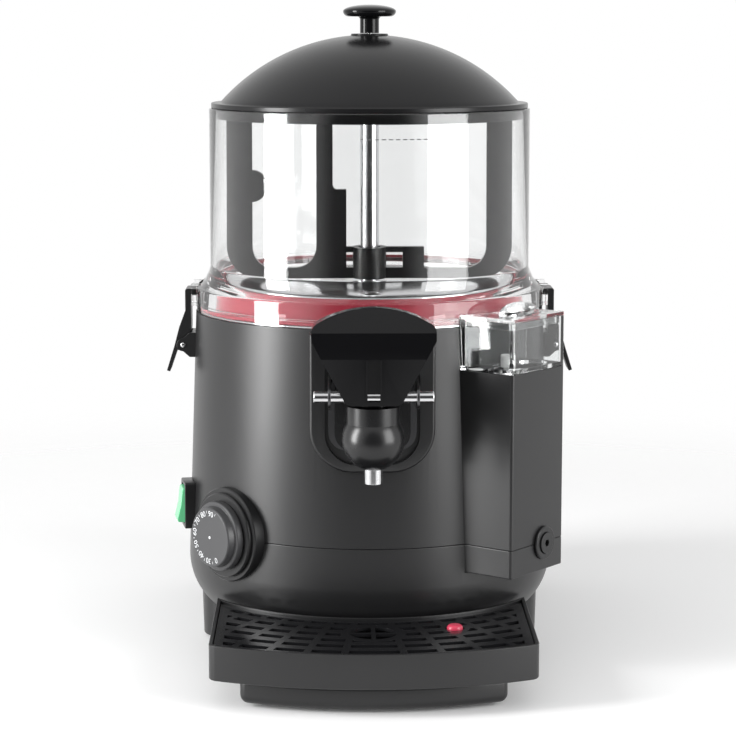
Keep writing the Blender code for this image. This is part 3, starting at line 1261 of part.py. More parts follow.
def build_stirrer():
    """Flat moulded frame: two wall blades, a stepped paddle, a top hub and a foot ring."""
    thick = STIRRER_HALF_THICKNESS
    low = STIRRER_BOTTOM_Z
    high = STIRRER_TOP_Z
    bar = STIRRER_BAR_HEIGHT
    right = math.pi / 2
    edge = STIRRER_RADIUS - STIRRER_FOOT_RADIUS
    corner = STIRRER_FOOT_RADIUS / 4
    outline = (
        arc((edge, low + STIRRER_FOOT_RADIUS), STIRRER_FOOT_RADIUS, -right, 0, 6)
        + arc((STIRRER_RADIUS - corner, high - corner), corner, 0, right, 3)
        + arc((-STIRRER_RADIUS + corner, high - corner), corner, right, math.pi, 3)
        + arc((-edge, low + STIRRER_FOOT_RADIUS), STIRRER_FOOT_RADIUS, math.pi, math.pi + right, 6)
    )
    frame = upright_outline("stirrer", outline, -thick, thick)
    blade = STIRRER_RADIUS - STIRRER_BLADE_WIDTH
    tube_side = TUBE_RADIUS + STIRRER_TUBE_GAP
    left = stirrer_window("left", -blade, -STIRRER_PADDLE_OUTER, low + bar, high - bar, STIRRER_WINDOW_RADIUS)
    bump_x = -blade - STIRRER_BUMP_RADIUS + STIRRER_BUMP_REACH
    cut(left, rod(
        "bump", STIRRER_BUMP_RADIUS, (bump_x, -STIRRER_RADIUS, STIRRER_BUMP_Z),
        (bump_x, STIRRER_RADIUS, STIRRER_BUMP_Z),
    ))
    cut(frame, left)
    inner = stirrer_window(
        "inner", -STIRRER_PADDLE_INNER, blade, low + bar, high - bar, STIRRER_WINDOW_RADIUS,
    )
    upper = stirrer_window(
        "upper", -STIRRER_PADDLE_INNER - STIRRER_PADDLE_STEP, 0, STIRRER_STEP_Z, high - bar,
        STIRRER_PADDLE_STEP / 3,
    )
    cut(frame, join(inner, upper))
    ring_outer = tube_side + STIRRER_RING_WALL
    hub_block = block(
        "foot_block", (-STIRRER_PADDLE_INNER - GAP, -thick, low),
        (STIRRER_BLOCK_REACH, thick, STIRRER_BLOCK_TOP_Z),
    )
    ring = rod("foot_ring", ring_outer, (0, 0, low), (0, 0, STIRRER_BLOCK_TOP_Z), MEDIUM_SEGMENTS)
    join(frame, hub_block, ring)
    window_low = low + bar
    window_high = STIRRER_BLOCK_TOP_Z - bar / 2
    cut(frame, rod(
        "tube_bore", tube_side, (0, 0, low - OVERRUN), (0, 0, STIRRER_BLOCK_TOP_Z + OVERRUN),
        MEDIUM_SEGMENTS,
    ))
    for near, far in ((ring_outer, 2 * ring_outer), (-STIRRER_PADDLE_INNER, -ring_outer)):
        cut(frame, block("light", (near, -thick - OVERRUN, window_low), (far, thick + OVERRUN, window_high)))
    cut(frame, rod(
        "flange_room", TUBE_FLANGE_RADIUS + STIRRER_TUBE_GAP, (0, 0, low - OVERRUN),
        (0, 0, FLOOR_TOP_Z + TUBE_FLANGE + STIRRER_TUBE_GAP + GAP), MEDIUM_SEGMENTS,
    ))
    cap_top = TUBE_TOP_Z + GAP + CAP_THICKNESS
    hub = rod(
        "hub", STIRRER_HUB_RADIUS, (0, 0, cap_top + GAP), (0, 0, STIRRER_HUB_TOP_Z), MEDIUM_SEGMENTS,
    )
    cut(frame, rod(
        "cap_room", CAP_RADIUS + STIRRER_TUBE_GAP, (0, 0, high - STIRRER_HUB_DEPTH), (0, 0, cap_top + GAP),
        MEDIUM_SEGMENTS,
    ))
    join(frame, hub)
    cut(frame, rod(
        "shaft_socket", SHAFT_RADIUS + GAP, (0, 0, high - STIRRER_HUB_DEPTH), (0, 0, SHAFT_TOP_Z + GAP),
    ))
    return frame


def build_lid():
    """Domed lid with its rim and skirt, the mushroom knob and the screw that holds it."""
    flange_low = BOWL_TOP_Z + GAP
    flange_top = flange_low + LID_FLANGE_THICKNESS
    centre_z = DOME_TOP_Z - DOME_SPHERE_RADIUS
    hole = SCREW_RADIUS + SCREW_CLEAR
    start = math.asin(LID_SEAT_RADIUS / DOME_SPHERE_RADIUS)
    end = math.asin(DOME_RADIUS / DOME_SPHERE_RADIUS)
    outside = []
    inside = []
    for step in range(DOME_STEPS + 1):
        turn = start + (end - start) * step / DOME_STEPS
        for points, radius in ((outside, DOME_SPHERE_RADIUS), (inside, DOME_SPHERE_RADIUS - LID_WALL)):
            points.append((radius * math.sin(turn), centre_z + radius * math.cos(turn)))
    seat_z = outside[0][1] + LID_SEAT_HEIGHT
    profile = [(hole, seat_z), (LID_SEAT_RADIUS, seat_z)]
    profile += outside
    profile += [
        (DOME_RADIUS + LID_WALL / 2, flange_top), (LID_FLANGE_RADIUS - LID_WALL / 4, flange_top),
        (LID_FLANGE_RADIUS, flange_top - LID_WALL / 4), (LID_FLANGE_RADIUS, flange_low),
        (LID_SKIRT_RADIUS, flange_low),
        (LID_SKIRT_RADIUS, flange_low - LID_SKIRT_DEPTH),
        (LID_SKIRT_RADIUS - LID_WALL, flange_low - LID_SKIRT_DEPTH),
        (LID_SKIRT_RADIUS - LID_WALL, flange_low),
    ]
    profile += [point for point in reversed(inside) if point[1] > flange_low + LID_WALL / 2]
    profile.append((hole, profile[-1][1]))
    lid = turned("lid", profile)

    knob_low = seat_z + GAP
    cap_low = TOTAL_HEIGHT - KNOB_CAP_HEIGHT
    edge_z = cap_low + KNOB_CAP_HEIGHT * KNOB_CAP_EDGE_SHARE
    crown = [
        (KNOB_CAP_RADIUS * across, edge_z + (TOTAL_HEIGHT - edge_z) * up)
        for across, up in arc((0, 0), 1, 0, math.pi / 2, 4)
    ]
    crown[-1] = (0, TOTAL_HEIGHT)
    knob = turned("lid_knob", [
        (0, knob_low), (KNOB_STEM_RADIUS, knob_low), (KNOB_STEM_RADIUS, cap_low - GAP),
        (KNOB_CAP_UNDER_RADIUS, cap_low), *crown,
    ], MEDIUM_SEGMENTS, closed=False)
    cut(knob, rod("screw_bore", hole, (0, 0, knob_low - OVERRUN), (0, 0, knob_low + SCREW_DEPTH)))

    head_top = profile[-1][1] - GAP
    screw = turned("knob_screw", [
        (0, head_top - SCREW_HEAD), (SCREW_HEAD_RADIUS, head_top - SCREW_HEAD), (SCREW_HEAD_RADIUS, head_top),
        (SCREW_RADIUS, head_top), (SCREW_RADIUS, knob_low + SCREW_DEPTH - GAP),
        (0, knob_low + SCREW_DEPTH - GAP),
    ], SMALL_SEGMENTS, closed=False)
    return [lid, knob, screw]


def build_tap():
    """Tap body with its bracket, pin, nozzle, gland, plunger, plug and spring."""
    recess_y = PAD_FACE_Y + RECESS_DEPTH
    sheet_back = recess_y - GAP
    sheet_face = sheet_back - TAP_BRACKET_SHEET
    flange_back = sheet_face - GAP
    flange_face = flange_back - TAP_FLANGE_THICKNESS
    arm_top = TAP_PIVOT_Z + TAP_ARM_END_RADIUS
    arm_outer = TAP_ARM_INNER + TAP_BRACKET_SHEET

    bulb_floor = BULB_FLOOR_Z
    low_turn = -math.asin((BULB_Z - bulb_floor) / BULB_RADIUS)
    high_turn = math.acos(NECK_RADIUS / BULB_RADIUS)
    side = arc((0, BULB_Z), BULB_RADIUS, low_turn, high_turn, BULB_STEPS)
    body = turned("tap_body", [
        (0, bulb_floor), *side, (NECK_RADIUS, NECK_TOP_Z), (0, NECK_TOP_Z),
    ], MEDIUM_SEGMENTS, closed=False)
    reshape(body, Matrix.Translation((0, TAP_Y, 0)))
    plate_line = rounded_box_outline(
        -TAP_FLANGE_HALF_WIDTH, TAP_FLANGE_HALF_WIDTH, TAP_FLANGE_BOTTOM_Z, arm_top,
        TAP_FLANGE_HALF_WIDTH / 2,
    )
    join(
        body,
        rod(
            "barrel", TAP_BARREL_RADIUS, (0, flange_face, TAP_BARREL_Z), (0, TAP_Y, TAP_BARREL_Z),
            MEDIUM_SEGMENTS,
        ),
        upright_outline("tap_flange", plate_line, flange_face, flange_back),
    )
    floor_top = bulb_floor + BULB_FLOOR
    cut(
        body,
        rod(
            "valve_bore", VALVE_BORE_RADIUS, (0, TAP_Y, floor_top), (0, TAP_Y, NECK_TOP_Z + OVERRUN),
            MEDIUM_SEGMENTS,
        ),
        rod(
            "inlet_bore", TAP_BORE_RADIUS, (0, flange_back + OVERRUN, TAP_BARREL_Z),
            (0, TAP_Y, TAP_BARREL_Z),
        ),
        rod(
            "nozzle_hole", NOZZLE_RADIUS + GAP, (0, TAP_Y, bulb_floor - OVERRUN),
            (0, TAP_Y, floor_top + OVERRUN),
        ),
    )

    bracket_line = rounded_box_outline(
        -arm_outer, arm_outer, TAP_FLANGE_BOTTOM_Z, arm_top, TAP_FLANGE_HALF_WIDTH / 2,
    )
    bracket = upright_outline("tap_bracket", bracket_line, sheet_face, sheet_back)
    arm_line = [
        (sheet_back, arm_top), (TAP_PIVOT_Y, arm_top),
        *arc((TAP_PIVOT_Y, TAP_PIVOT_Z), TAP_ARM_END_RADIUS, math.pi / 2, math.pi * 3 / 2, 8)[1:],
        (TAP_PIVOT_Y + TAP_ARM_END_RADIUS, TAP_ARM_BOTTOM_Z), (sheet_back, TAP_ARM_BOTTOM_Z),
    ]
    for near, far in ((-arm_outer, -TAP_ARM_INNER), (TAP_ARM_INNER, arm_outer)):
        join(bracket, side_outline("arm", arm_line, near, far))
    cut(bracket, rod(
        "barrel_hole", OUTLET_TUBE_RADIUS + GAP, (0, sheet_face - OVERRUN, TAP_BARREL_Z),
        (0, sheet_back + OVERRUN, TAP_BARREL_Z),
    ))
    pin_half = TAP_PIN_HALF_LENGTH
    hole_half = arm_outer + OVERRUN
    cut(bracket, rod(
        "pin_hole", TAP_PIN_RADIUS + GAP, (-hole_half, TAP_PIVOT_Y, TAP_PIVOT_Z),
        (hole_half, TAP_PIVOT_Y, TAP_PIVOT_Z),
    ))
    pin = rod(
        "tap_pin", TAP_PIN_RADIUS, (-pin_half, TAP_PIVOT_Y, TAP_PIVOT_Z),
        (pin_half, TAP_PIVOT_Y, TAP_PIVOT_Z),
    )

    flange_low = floor_top + GAP
    nozzle_top = flange_low + NOZZLE_FLANGE
    nozzle = turned("nozzle", [
        (NOZZLE_BORE_RADIUS, NOZZLE_BOTTOM_Z), (NOZZLE_RADIUS, NOZZLE_BOTTOM_Z), (NOZZLE_RADIUS, flange_low),
        (NOZZLE_FLANGE_RADIUS, flange_low), (NOZZLE_FLANGE_RADIUS, nozzle_top),
        (NOZZLE_BORE_RADIUS, nozzle_top),
    ], MEDIUM_SEGMENTS)
    plug_low = nozzle_top + GAP
    plug_top = plug_low + PLUG_HEIGHT
    socket_low = plug_top - PLUG_SOCKET
    plug = turned("valve_plug", [
        (0, plug_low), (NOZZLE_BORE_RADIUS, plug_low), (PLUG_RADIUS, plug_low + PLUG_HEIGHT / 3),
        (PLUG_RADIUS, plug_top), (PLUNGER_RADIUS + GAP, plug_top), (PLUNGER_RADIUS + GAP, socket_low),
        (0, socket_low),
    ], MEDIUM_SEGMENTS, closed=False)
    gland_low = NECK_TOP_Z + GAP
    gland = turned("tap_gland", [
        (PLUNGER_RADIUS + GAP, NECK_TOP_Z - GLAND_PLUG), (VALVE_BORE_RADIUS - GAP, NECK_TOP_Z - GLAND_PLUG),
        (VALVE_BORE_RADIUS - GAP, gland_low), (GLAND_RADIUS, gland_low),
        (GLAND_RADIUS, gland_low + GLAND_FLANGE),
        (PLUNGER_RADIUS + GAP, gland_low + GLAND_FLANGE),
    ], MEDIUM_SEGMENTS)
    cross_z = TAP_PIVOT_Z + CROSS_PIN_RADIUS + GAP
    for piece in (nozzle, plug, gland):
        reshape(piece, Matrix.Translation((0, TAP_Y, 0)))
    plunger = rod(
        "tap_plunger", PLUNGER_RADIUS, (0, TAP_Y, socket_low + GAP), (0, TAP_Y, cross_z + PLUNGER_TOP),
    )
    cross = CROSS_PIN_HALF_LENGTH
    join(plunger, rod("cross_pin", CROSS_PIN_RADIUS, (-cross, TAP_Y, cross_z), (cross, TAP_Y, cross_z)))
    low = plug_top + GAP + SPRING_WIRE_RADIUS
    high = NECK_TOP_Z - GLAND_PLUG - GAP - SPRING_WIRE_RADIUS
    steps = SPRING_TURNS * SPRING_POINTS
    coil = [
        (SPRING_RADIUS * math.cos(math.tau * step / SPRING_POINTS),
         TAP_Y + SPRING_RADIUS * math.sin(math.tau * step / SPRING_POINTS), low + (high - low) * step / steps)
        for step in range(steps + 1)
    ]
    spring = tube_along("tap_spring", coil, SPRING_WIRE_RADIUS, 1)
    return [body, bracket, pin, nozzle, plug, gland, plunger, spring]


def lever_front(margin, low):
    """Front view of the lever as (x, z) points, drawn in by a margin, down to a height."""
    half = LEVER_SHOULDER_HALF_WIDTH - margin
    low_half = LEVER_BOTTOM_HALF_WIDTH - margin
    rise = LEVER_TOP_Z - LEVER_SHOULDER_Z
    crown_radius = (LEVER_SHOULDER_HALF_WIDTH ** 2 + rise ** 2) / (2 * rise) - margin
    swing = math.asin(half / crown_radius)
    middle = LEVER_TOP_Z - margin - crown_radius
    crown = arc((0, middle), crown_radius, math.pi / 2 - swing, math.pi / 2 + swing, LEVER_ARC_STEPS)
    drop = LEVER_SHOULDER_Z - LEVER_SIDE_DROP
    return [
        (-low_half, low), (low_half, low), (half, drop), *crown, (-half, drop),
    ]


def lever_side(margin):
    """Side view of the lever as (y, z) points, its front drawn in by a margin."""
    back = LEVER_BACK_Y + margin
    return [
        (back, LEVER_BOTTOM_Z - OVERRUN), (LEVER_TOE_Y + margin, LEVER_BOTTOM_Z - OVERRUN),
        (LEVER_TOE_Y + margin, LEVER_BOTTOM_Z), (LEVER_PANEL_Y + margin, LEVER_PANEL_BOTTOM_Z),
        (LEVER_PANEL_Y + margin, LEVER_PANEL_TOP_Z - margin / 2),
        (LEVER_CROWN_Y + margin, LEVER_TOP_Z - margin / 2),
        (LEVER_CROWN_Y + margin, LEVER_TOP_Z + OVERRUN), (back, LEVER_TOP_Z + OVERRUN),
    ]


def build_tap_lever():
    """Hollow faceted handle with its pivot boss, lifting tines and ribbed slot."""
    half = LEVER_SHOULDER_HALF_WIDTH + OVERRUN
    far = LEVER_PANEL_Y - OVERRUN
    lever = upright_outline("tap_lever", lever_front(0, LEVER_BOTTOM_Z), far, LEVER_BACK_Y)
    keep_inside(lever, side_outline("side", lever_side(0), -half, half))
    open_line = lever_front(LEVER_WALL, LEVER_BOTTOM_Z - OVERRUN)
    hollow = upright_outline("hollow", open_line, far, LEVER_BACK_Y + OVERRUN)
    inner_side = lever_side(LEVER_WALL)
    inner_side = [(y + OVERRUN if y == LEVER_BACK_Y + LEVER_WALL else y, z) for y, z in inner_side]
    keep_inside(hollow, side_outline("inner", inner_side, -half, half))
    cut(lever, hollow)
    for across in (-1, 1):
        middle = across * (SLOT_HALF_WIDTH + SLOT_RIB_WIDTH / 2)
        rib_line = [
            (LEVER_TOE_Y + LEVER_WALL / 2, LEVER_BOTTOM_Z + LEVER_WALL),
            (LEVER_TOE_Y - SLOT_RIB_HEIGHT, LEVER_BOTTOM_Z + LEVER_WALL),
            (LEVER_PANEL_Y - SLOT_RIB_HEIGHT, LEVER_PANEL_BOTTOM_Z),
            (LEVER_PANEL_Y + LEVER_WALL / 2, LEVER_PANEL_BOTTOM_Z),
        ]
        join(lever, side_outline("rib", rib_line, middle - SLOT_RIB_WIDTH / 2, middle + SLOT_RIB_WIDTH / 2))
    slot_line = [
        (LEVER_TOE_Y + SLOT_DEPTH, LEVER_BOTTOM_Z + LEVER_WALL),
        (LEVER_TOE_Y - OVERRUN, LEVER_BOTTOM_Z + LEVER_WALL),
        (LEVER_PANEL_Y - OVERRUN, LEVER_PANEL_BOTTOM_Z - LEVER_WALL / 2),
        (LEVER_PANEL_Y + SLOT_DEPTH, LEVER_PANEL_BOTTOM_Z - LEVER_WALL / 2),
    ]
    cut(lever, side_outline("slot", slot_line, -SLOT_HALF_WIDTH, SLOT_HALF_WIDTH))
    boss_half = LEVER_BOSS_HALF_WIDTH
    top = TAP_PIVOT_Z
    join(lever, side_outline("boss", [
        *arc((TAP_PIVOT_Y, TAP_PIVOT_Z), LEVER_BOSS_RADIUS, 0, math.pi, 8),
        (LEVER_TOE_Y + LEVER_WALL / 2, LEVER_BOTTOM_Z), (TAP_PIVOT_Y + LEVER_BOSS_RADIUS, LEVER_BOTTOM_Z),
    ], -boss_half, boss_half))
    for low_x, high_x in ((-TINE_OUTER, -TINE_INNER), (TINE_INNER, TINE_OUTER)):
        join(lever, block(
            "tine", (low_x, TAP_PIVOT_Y, top - TINE_THICKNESS), (high_x, TINE_END_Y, top),
        ))
    half_bore = LEVER_SHOULDER_HALF_WIDTH
    cut(lever, rod(
        "pin_bore", TAP_PIN_RADIUS + GAP, (-half_bore, TAP_PIVOT_Y, TAP_PIVOT_Z),
        (half_bore, TAP_PIVOT_Y, TAP_PIVOT_Z),
    ))
    set_origin(lever, (0, TAP_PIVOT_Y, TAP_PIVOT_Z))
    return lever


def build_outlet_tube():
    """Bent tube that takes the chocolate from the bowl's floor out to the tap."""
    top = FLOOR_TOP_Z - FLOOR_SHEET - GAP
    end = PAD_FACE_Y + RECESS_DEPTH
    bend = [
        (OUTLET_Y - OUTLET_BEND_RADIUS + y, TAP_BARREL_Z + OUTLET_BEND_RADIUS + z)
        for y, z in arc((0, 0), OUTLET_BEND_RADIUS, 0, -math.pi / 2, 4)
    ]

    def route(start, finish):
        return [(0, OUTLET_Y, start), *[(0, y, z) for y, z in bend], (0, finish, TAP_BARREL_Z)]

    tube = tube_along("outlet_tube", route(top, end), OUTLET_TUBE_RADIUS)
    return cut(tube, tube_along("bore", route(top + OVERRUN, end - OVERRUN), OUTLET_BORE_RADIUS))


def build_controls():
    """Thermostat with its dial and bezel, and the rocker switch."""
    stem = DIAL_STEM_RADIUS
    body = dial_turned("thermostat", [
        (0, THERMOSTAT_REACH - THERMOSTAT_DEPTH), (THERMOSTAT_RADIUS, THERMOSTAT_REACH - THERMOSTAT_DEPTH),
        (THERMOSTAT_RADIUS, THERMOSTAT_REACH), (BUSHING_RADIUS, THERMOSTAT_REACH),
        (BUSHING_RADIUS, BEZEL_STEP_REACH),
        (stem + GAP, BEZEL_STEP_REACH), (stem + GAP, THERMOSTAT_REACH), (0, THERMOSTAT_REACH),
    ], closed=False)
    bezel = dial_turned("dial_bezel", [
        (BUSHING_RADIUS + GAP, THERMOSTAT_REACH), (BEZEL_RADIUS, THERMOSTAT_REACH),
        (BEZEL_RADIUS, BEZEL_STEP_REACH - SEAM_CHAMFER),
        (BEZEL_RADIUS - SEAM_CHAMFER, BEZEL_STEP_REACH), (BEZEL_STEP_RADIUS, BEZEL_STEP_REACH),
        (BEZEL_STEP_RADIUS, BEZEL_REACH - SEAM_CHAMFER),
        (BEZEL_STEP_RADIUS - SEAM_CHAMFER, BEZEL_REACH), (BUSHING_RADIUS + GAP, BEZEL_REACH),
    ])
    cut(bezel, housing_solid("wall", GAP, HOUSING_BOTTOM_Z, HOUSING_TOP_Z))
    low = BEZEL_REACH + GAP
    knob = dial_turned("dial_knob", [
        (0, THERMOSTAT_REACH + GAP), (stem, THERMOSTAT_REACH + GAP), (stem, low), (DIAL_SKIRT_RADIUS, low),
        (DIAL_SKIRT_RADIUS, DIAL_SKIRT_REACH - SEAM_CHAMFER),
        (DIAL_SKIRT_RADIUS - SEAM_CHAMFER, DIAL_SKIRT_REACH),
        (DIAL_FACE_RADIUS + SEAM_CHAMFER, DIAL_SKIRT_REACH),
        (DIAL_FACE_RADIUS, DIAL_FACE_REACH - SEAM_CHAMFER),
        (DIAL_FACE_RADIUS - SEAM_CHAMFER, DIAL_FACE_REACH), (0, DIAL_FACE_REACH),
    ], closed=False)
    set_origin(knob, facing(DIAL_ANGLE) @ Vector((DIAL_FACE_REACH, 0, DIAL_Z)))

    frame = switch_box("switch_bezel", SWITCH_HALF_WIDTH, SWITCH_HALF_HEIGHT, THERMOSTAT_REACH, SWITCH_REACH)
    cut(frame, housing_solid("wall", GAP, HOUSING_BOTTOM_Z, HOUSING_TOP_Z))
    margin = SWITCH_BODY_MARGIN
    join(frame, switch_box(
        "switch_body", SWITCH_HALF_WIDTH - margin, SWITCH_HALF_HEIGHT - margin, SWITCH_BODY_REACH,
        SWITCH_REACH - GAP,
    ))
    cut(frame, switch_box(
        "rocker_pocket", ROCKER_HALF_WIDTH + ROCKER_GAP, ROCKER_HALF_HEIGHT + ROCKER_END_GAP,
        ROCKER_PIVOT_REACH - ROCKER_POCKET_DEPTH, SWITCH_REACH + OVERRUN,
    ))
    line = [
        (-ROCKER_HALF_HEIGHT, 0), (-ROCKER_BASE_HALF_HEIGHT, -ROCKER_BASE_DEPTH),
        (ROCKER_BASE_HALF_HEIGHT, -ROCKER_BASE_DEPTH), (ROCKER_HALF_HEIGHT, 0),
        (ROCKER_HALF_HEIGHT - ROCKER_GAP, ROCKER_SUNK),
        (ROCKER_BASE_HALF_HEIGHT, ROCKER_SUNK + ROCKER_GAP),
        (0, (ROCKER_SUNK + ROCKER_PROUD) / 2 - ROCKER_GAP),
        (-ROCKER_BASE_HALF_HEIGHT, ROCKER_PROUD),
        (-ROCKER_HALF_HEIGHT + ROCKER_GAP, ROCKER_PROUD - ROCKER_GAP),
    ]
    rocker = prism("switch_rocker", line, -ROCKER_HALF_WIDTH, ROCKER_HALF_WIDTH)
    stand_up = Matrix(((0, 1, 0, ROCKER_PIVOT_REACH), (0, 0, 1, 0), (1, 0, 0, SWITCH_Z), (0, 0, 0, 1)))
    reshape(rocker, facing(SWITCH_ANGLE) @ stand_up)
    set_origin(rocker, facing(SWITCH_ANGLE) @ Vector((ROCKER_PIVOT_REACH, 0, SWITCH_Z)))
    return [body, bezel, knob, frame, rocker]


def tray_outline(margin):
    """Plan of the drip tray: bowed front, straight sides and a rear edge round the housing."""
    bow_radius = tray_bow_radius() - margin
    half = TRAY_HALF_WIDTH - margin
    centre_y = tray_bow_radius() - FRONT_REACH
    swing = math.asin(half / bow_radius)
    front = arc((0, centre_y), bow_radius, -math.pi / 2 - swing, -math.pi / 2 + swing, TRAY_ARC_STEPS)
    rear_radius = TRAY_HOUSING_RADIUS + margin
    turn = math.asin(half / rear_radius)
    rear = arc((0, 0), rear_radius, -math.pi / 2 + turn, -math.pi / 2 - turn, TRAY_ARC_STEPS)
    return front + rear


def tray_bow_radius():
    """Radius of the tray's bowed front."""
    return (TRAY_HALF_WIDTH ** 2 + TRAY_BOW ** 2) / (2 * TRAY_BOW)


def grid_slots():
    """Outlines of the grid's arc-shaped slots about the bowl's axis, row by row between the ribs."""
    first = FRONT_REACH - TRAY_WALL - GRID_GAP - GRID_BORDER
    half = [GRID_FIRST_RIB + GRID_RIB_PITCH * count for count in range(GRID_RIB_PAIRS)]
    ribs = [-turn for turn in reversed(half)] + half
    slots = []
    for row in range(GRID_ROWS):
        outer = first - row * (GRID_SLOT + GRID_SLAT)
        inner = outer - GRID_SLOT
        rib = GRID_RIB / outer
        for low_turn, high_turn in zip(ribs, ribs[1:]):
            start = low_turn + rib / 2 - math.pi / 2
            end = high_turn - rib / 2 - math.pi / 2
            slots.append(arc((0, 0), outer, start, end, 1) + arc((0, 0), inner, end, start, 1))
    return slots


def build_tray():
    """Drip tray with its posts, the slotted grid and the red float."""
    low = TOE_TOP_Z + GAP
    floor = low + TRAY_WALL
    tray = prism("drip_tray", tray_outline(0), low, TRAY_TOP_Z)
    front_y = TRAY_BOW - FRONT_REACH
    bevel_where(
        tray, lambda co: abs(abs(co.x) - TRAY_HALF_WIDTH) < WELD_DISTANCE and co.y < front_y + GAP,
        TRAY_CORNER_RADIUS, 4,
    )
    bevel_where(tray, lambda co: co.z < low + WELD_DISTANCE, TRAY_LOWER_RADIUS, 3)
    cut(tray, prism("tray_hollow", tray_outline(TRAY_WALL), floor, TRAY_TOP_Z + OVERRUN))
    grid_top = TRAY_TOP_Z - GRID_DROP
    grid_low = grid_top - GRID_THICKNESS
    for x in (-POST_X, POST_X):
        for y in (POST_FRONT_Y, POST_REAR_Y):
            join(tray, rod(
                "post", POST_RADIUS, (x, y, floor - GAP), (x, y, grid_low - GAP), SMALL_SEGMENTS // 2,
            ))

    grid = prism("drip_grid", tray_outline(TRAY_WALL + GRID_GAP), grid_low, grid_top)
    through = (grid_low - OVERRUN, grid_top + OVERRUN)
    keep = prism(
        "keep", tray_outline(TRAY_WALL + GRID_GAP + GRID_BORDER), grid_low - 2 * OVERRUN,
        grid_top + 2 * OVERRUN,
    )
    slots = prism("slots", grid_slots()[0], *through)
    for outline in grid_slots()[1:]:
        other = prism("slot", outline, *through)
        shape = bmesh.new()
        shape.from_mesh(slots.data)
        shape.from_mesh(other.data)
        shape.to_mesh(slots.data)
        shape.free()
        bpy.data.objects.remove(other, do_unlink=True)
    keep_inside(slots, keep)
    cut(slots, rod(
        "ring_keep", GRID_RING_RADIUS, (0, TAP_Y, grid_low - 2 * OVERRUN),
        (0, TAP_Y, grid_top + 2 * OVERRUN), MEDIUM_SEGMENTS,
    ))
    float_keep = TRAY_FLOAT_RADIUS + TRAY_FLOAT_GAP + GRID_SLAT
    float_at = (TRAY_FLOAT_X, TRAY_FLOAT_Y)
    cut(slots, rod(
        "float_keep", float_keep, (*float_at, grid_low - 2 * OVERRUN), (*float_at, grid_top + 2 * OVERRUN),
    ))
    cut(grid, slots)
    hole = rod(
        "ring_hole", GRID_RING_HOLE_RADIUS, (0, TAP_Y, through[0]), (0, TAP_Y, through[1]), MEDIUM_SEGMENTS,
    )
    bar = GRID_RING_BAR / 2
    reach = GRID_RING_RADIUS
    cut(hole, block(
        "bar_x", (-reach, TAP_Y - bar, through[0] - OVERRUN), (reach, TAP_Y + bar, through[1] + OVERRUN),
    ))
    cut(hole, block(
        "bar_y", (-bar, TAP_Y - reach, through[0] - OVERRUN), (bar, TAP_Y + reach, through[1] + OVERRUN),
    ))
    cut(grid, hole)
    cut(grid, rod(
        "float_hole", TRAY_FLOAT_RADIUS + TRAY_FLOAT_GAP, (*float_at, through[0]), (*float_at, through[1]),
    ))

    dome = TRAY_TOP_Z + TRAY_FLOAT_RISE
    float_ = turned("tray_float", [
        (0, floor + GAP), (TRAY_FLOAT_RADIUS, floor + GAP), (TRAY_FLOAT_RADIUS, dome - TRAY_FLOAT_RADIUS / 2),
        (TRAY_FLOAT_RADIUS / 2, dome), (0, dome),
    ], SMALL_SEGMENTS, closed=False)
    reshape(float_, Matrix.Translation((*float_at, 0)))
    return [tray, grid, float_]


def set_origin(piece, place):
    """Put a piece's origin on its joint, leaving the piece where it is."""
    piece.data.transform(Matrix.Translation(-Vector(place)))
    piece.location = place


def finish(piece, material):
    """Give a piece its material and smooth its round faces."""
    piece.data.materials.clear()
    piece.data.materials.append(material)
    piece.data.shade_smooth()
    piece.data.set_sharp_from_angle(angle=SHARP_ANGLE)


def material_table():
    """One material for each finish, by name."""
    return {
        "housing": make_material("housing", (0.055, 0.055, 0.058), 0.42),
        "gloss": make_material("gloss", (0.014, 0.014, 0.015), 0.14),
        "satin": make_material("satin", (0.020, 0.020, 0.021), 0.35),
        "clear": make_material("clear", (0.92, 0.93, 0.93), 0.04, alpha=0.25),
        "steel": make_material("steel", (0.70, 0.70, 0.71), 0.22, metallic=1.0),
        "red": make_material("red", (0.50, 0.04, 0.07), 0.45),
        "green": make_material("green", (0.15, 0.55, 0.28), 0.25),
        "rubber": make_material("rubber", (0.025, 0.025, 0.025), 0.80),
        "white": make_material("white", (0.80, 0.80, 0.80), 0.40),
    }


FINISH_OF_PIECE = {
    "gloss": ["tap_lever", "tap_body", "tap_gland", "lid_knob"],
    "satin": [
        "stirrer", "latch_left", "latch_right", "latch_bracket_left", "latch_bracket_right", "dial_bezel",
        "dial_knob", "switch_bezel", "drain_bush", "drain_plug", "drip_grid", "power_inlet", "thermostat",
    ],
    "clear": ["bowl", "water_box", "water_box_lid"],
    "steel": [
        "bowl_floor", "water_bath", "heating_element", "motor_frame", "gearmotor", "drive_shaft",
        "drive_coupling", "centre_tube", "shaft_cap", "knob_screw", "tap_bracket", "tap_pin", "nozzle",
        "tap_plunger", "tap_spring", "outlet_tube",
    ],
    "red": ["bowl_seal", "tray_float"],
    "green": ["switch_rocker"],
    "rubber": ["foot_front_left", "foot_front_right", "foot_rear_left", "foot_rear_right"],
    "white": ["water_float", "valve_plug"],
}


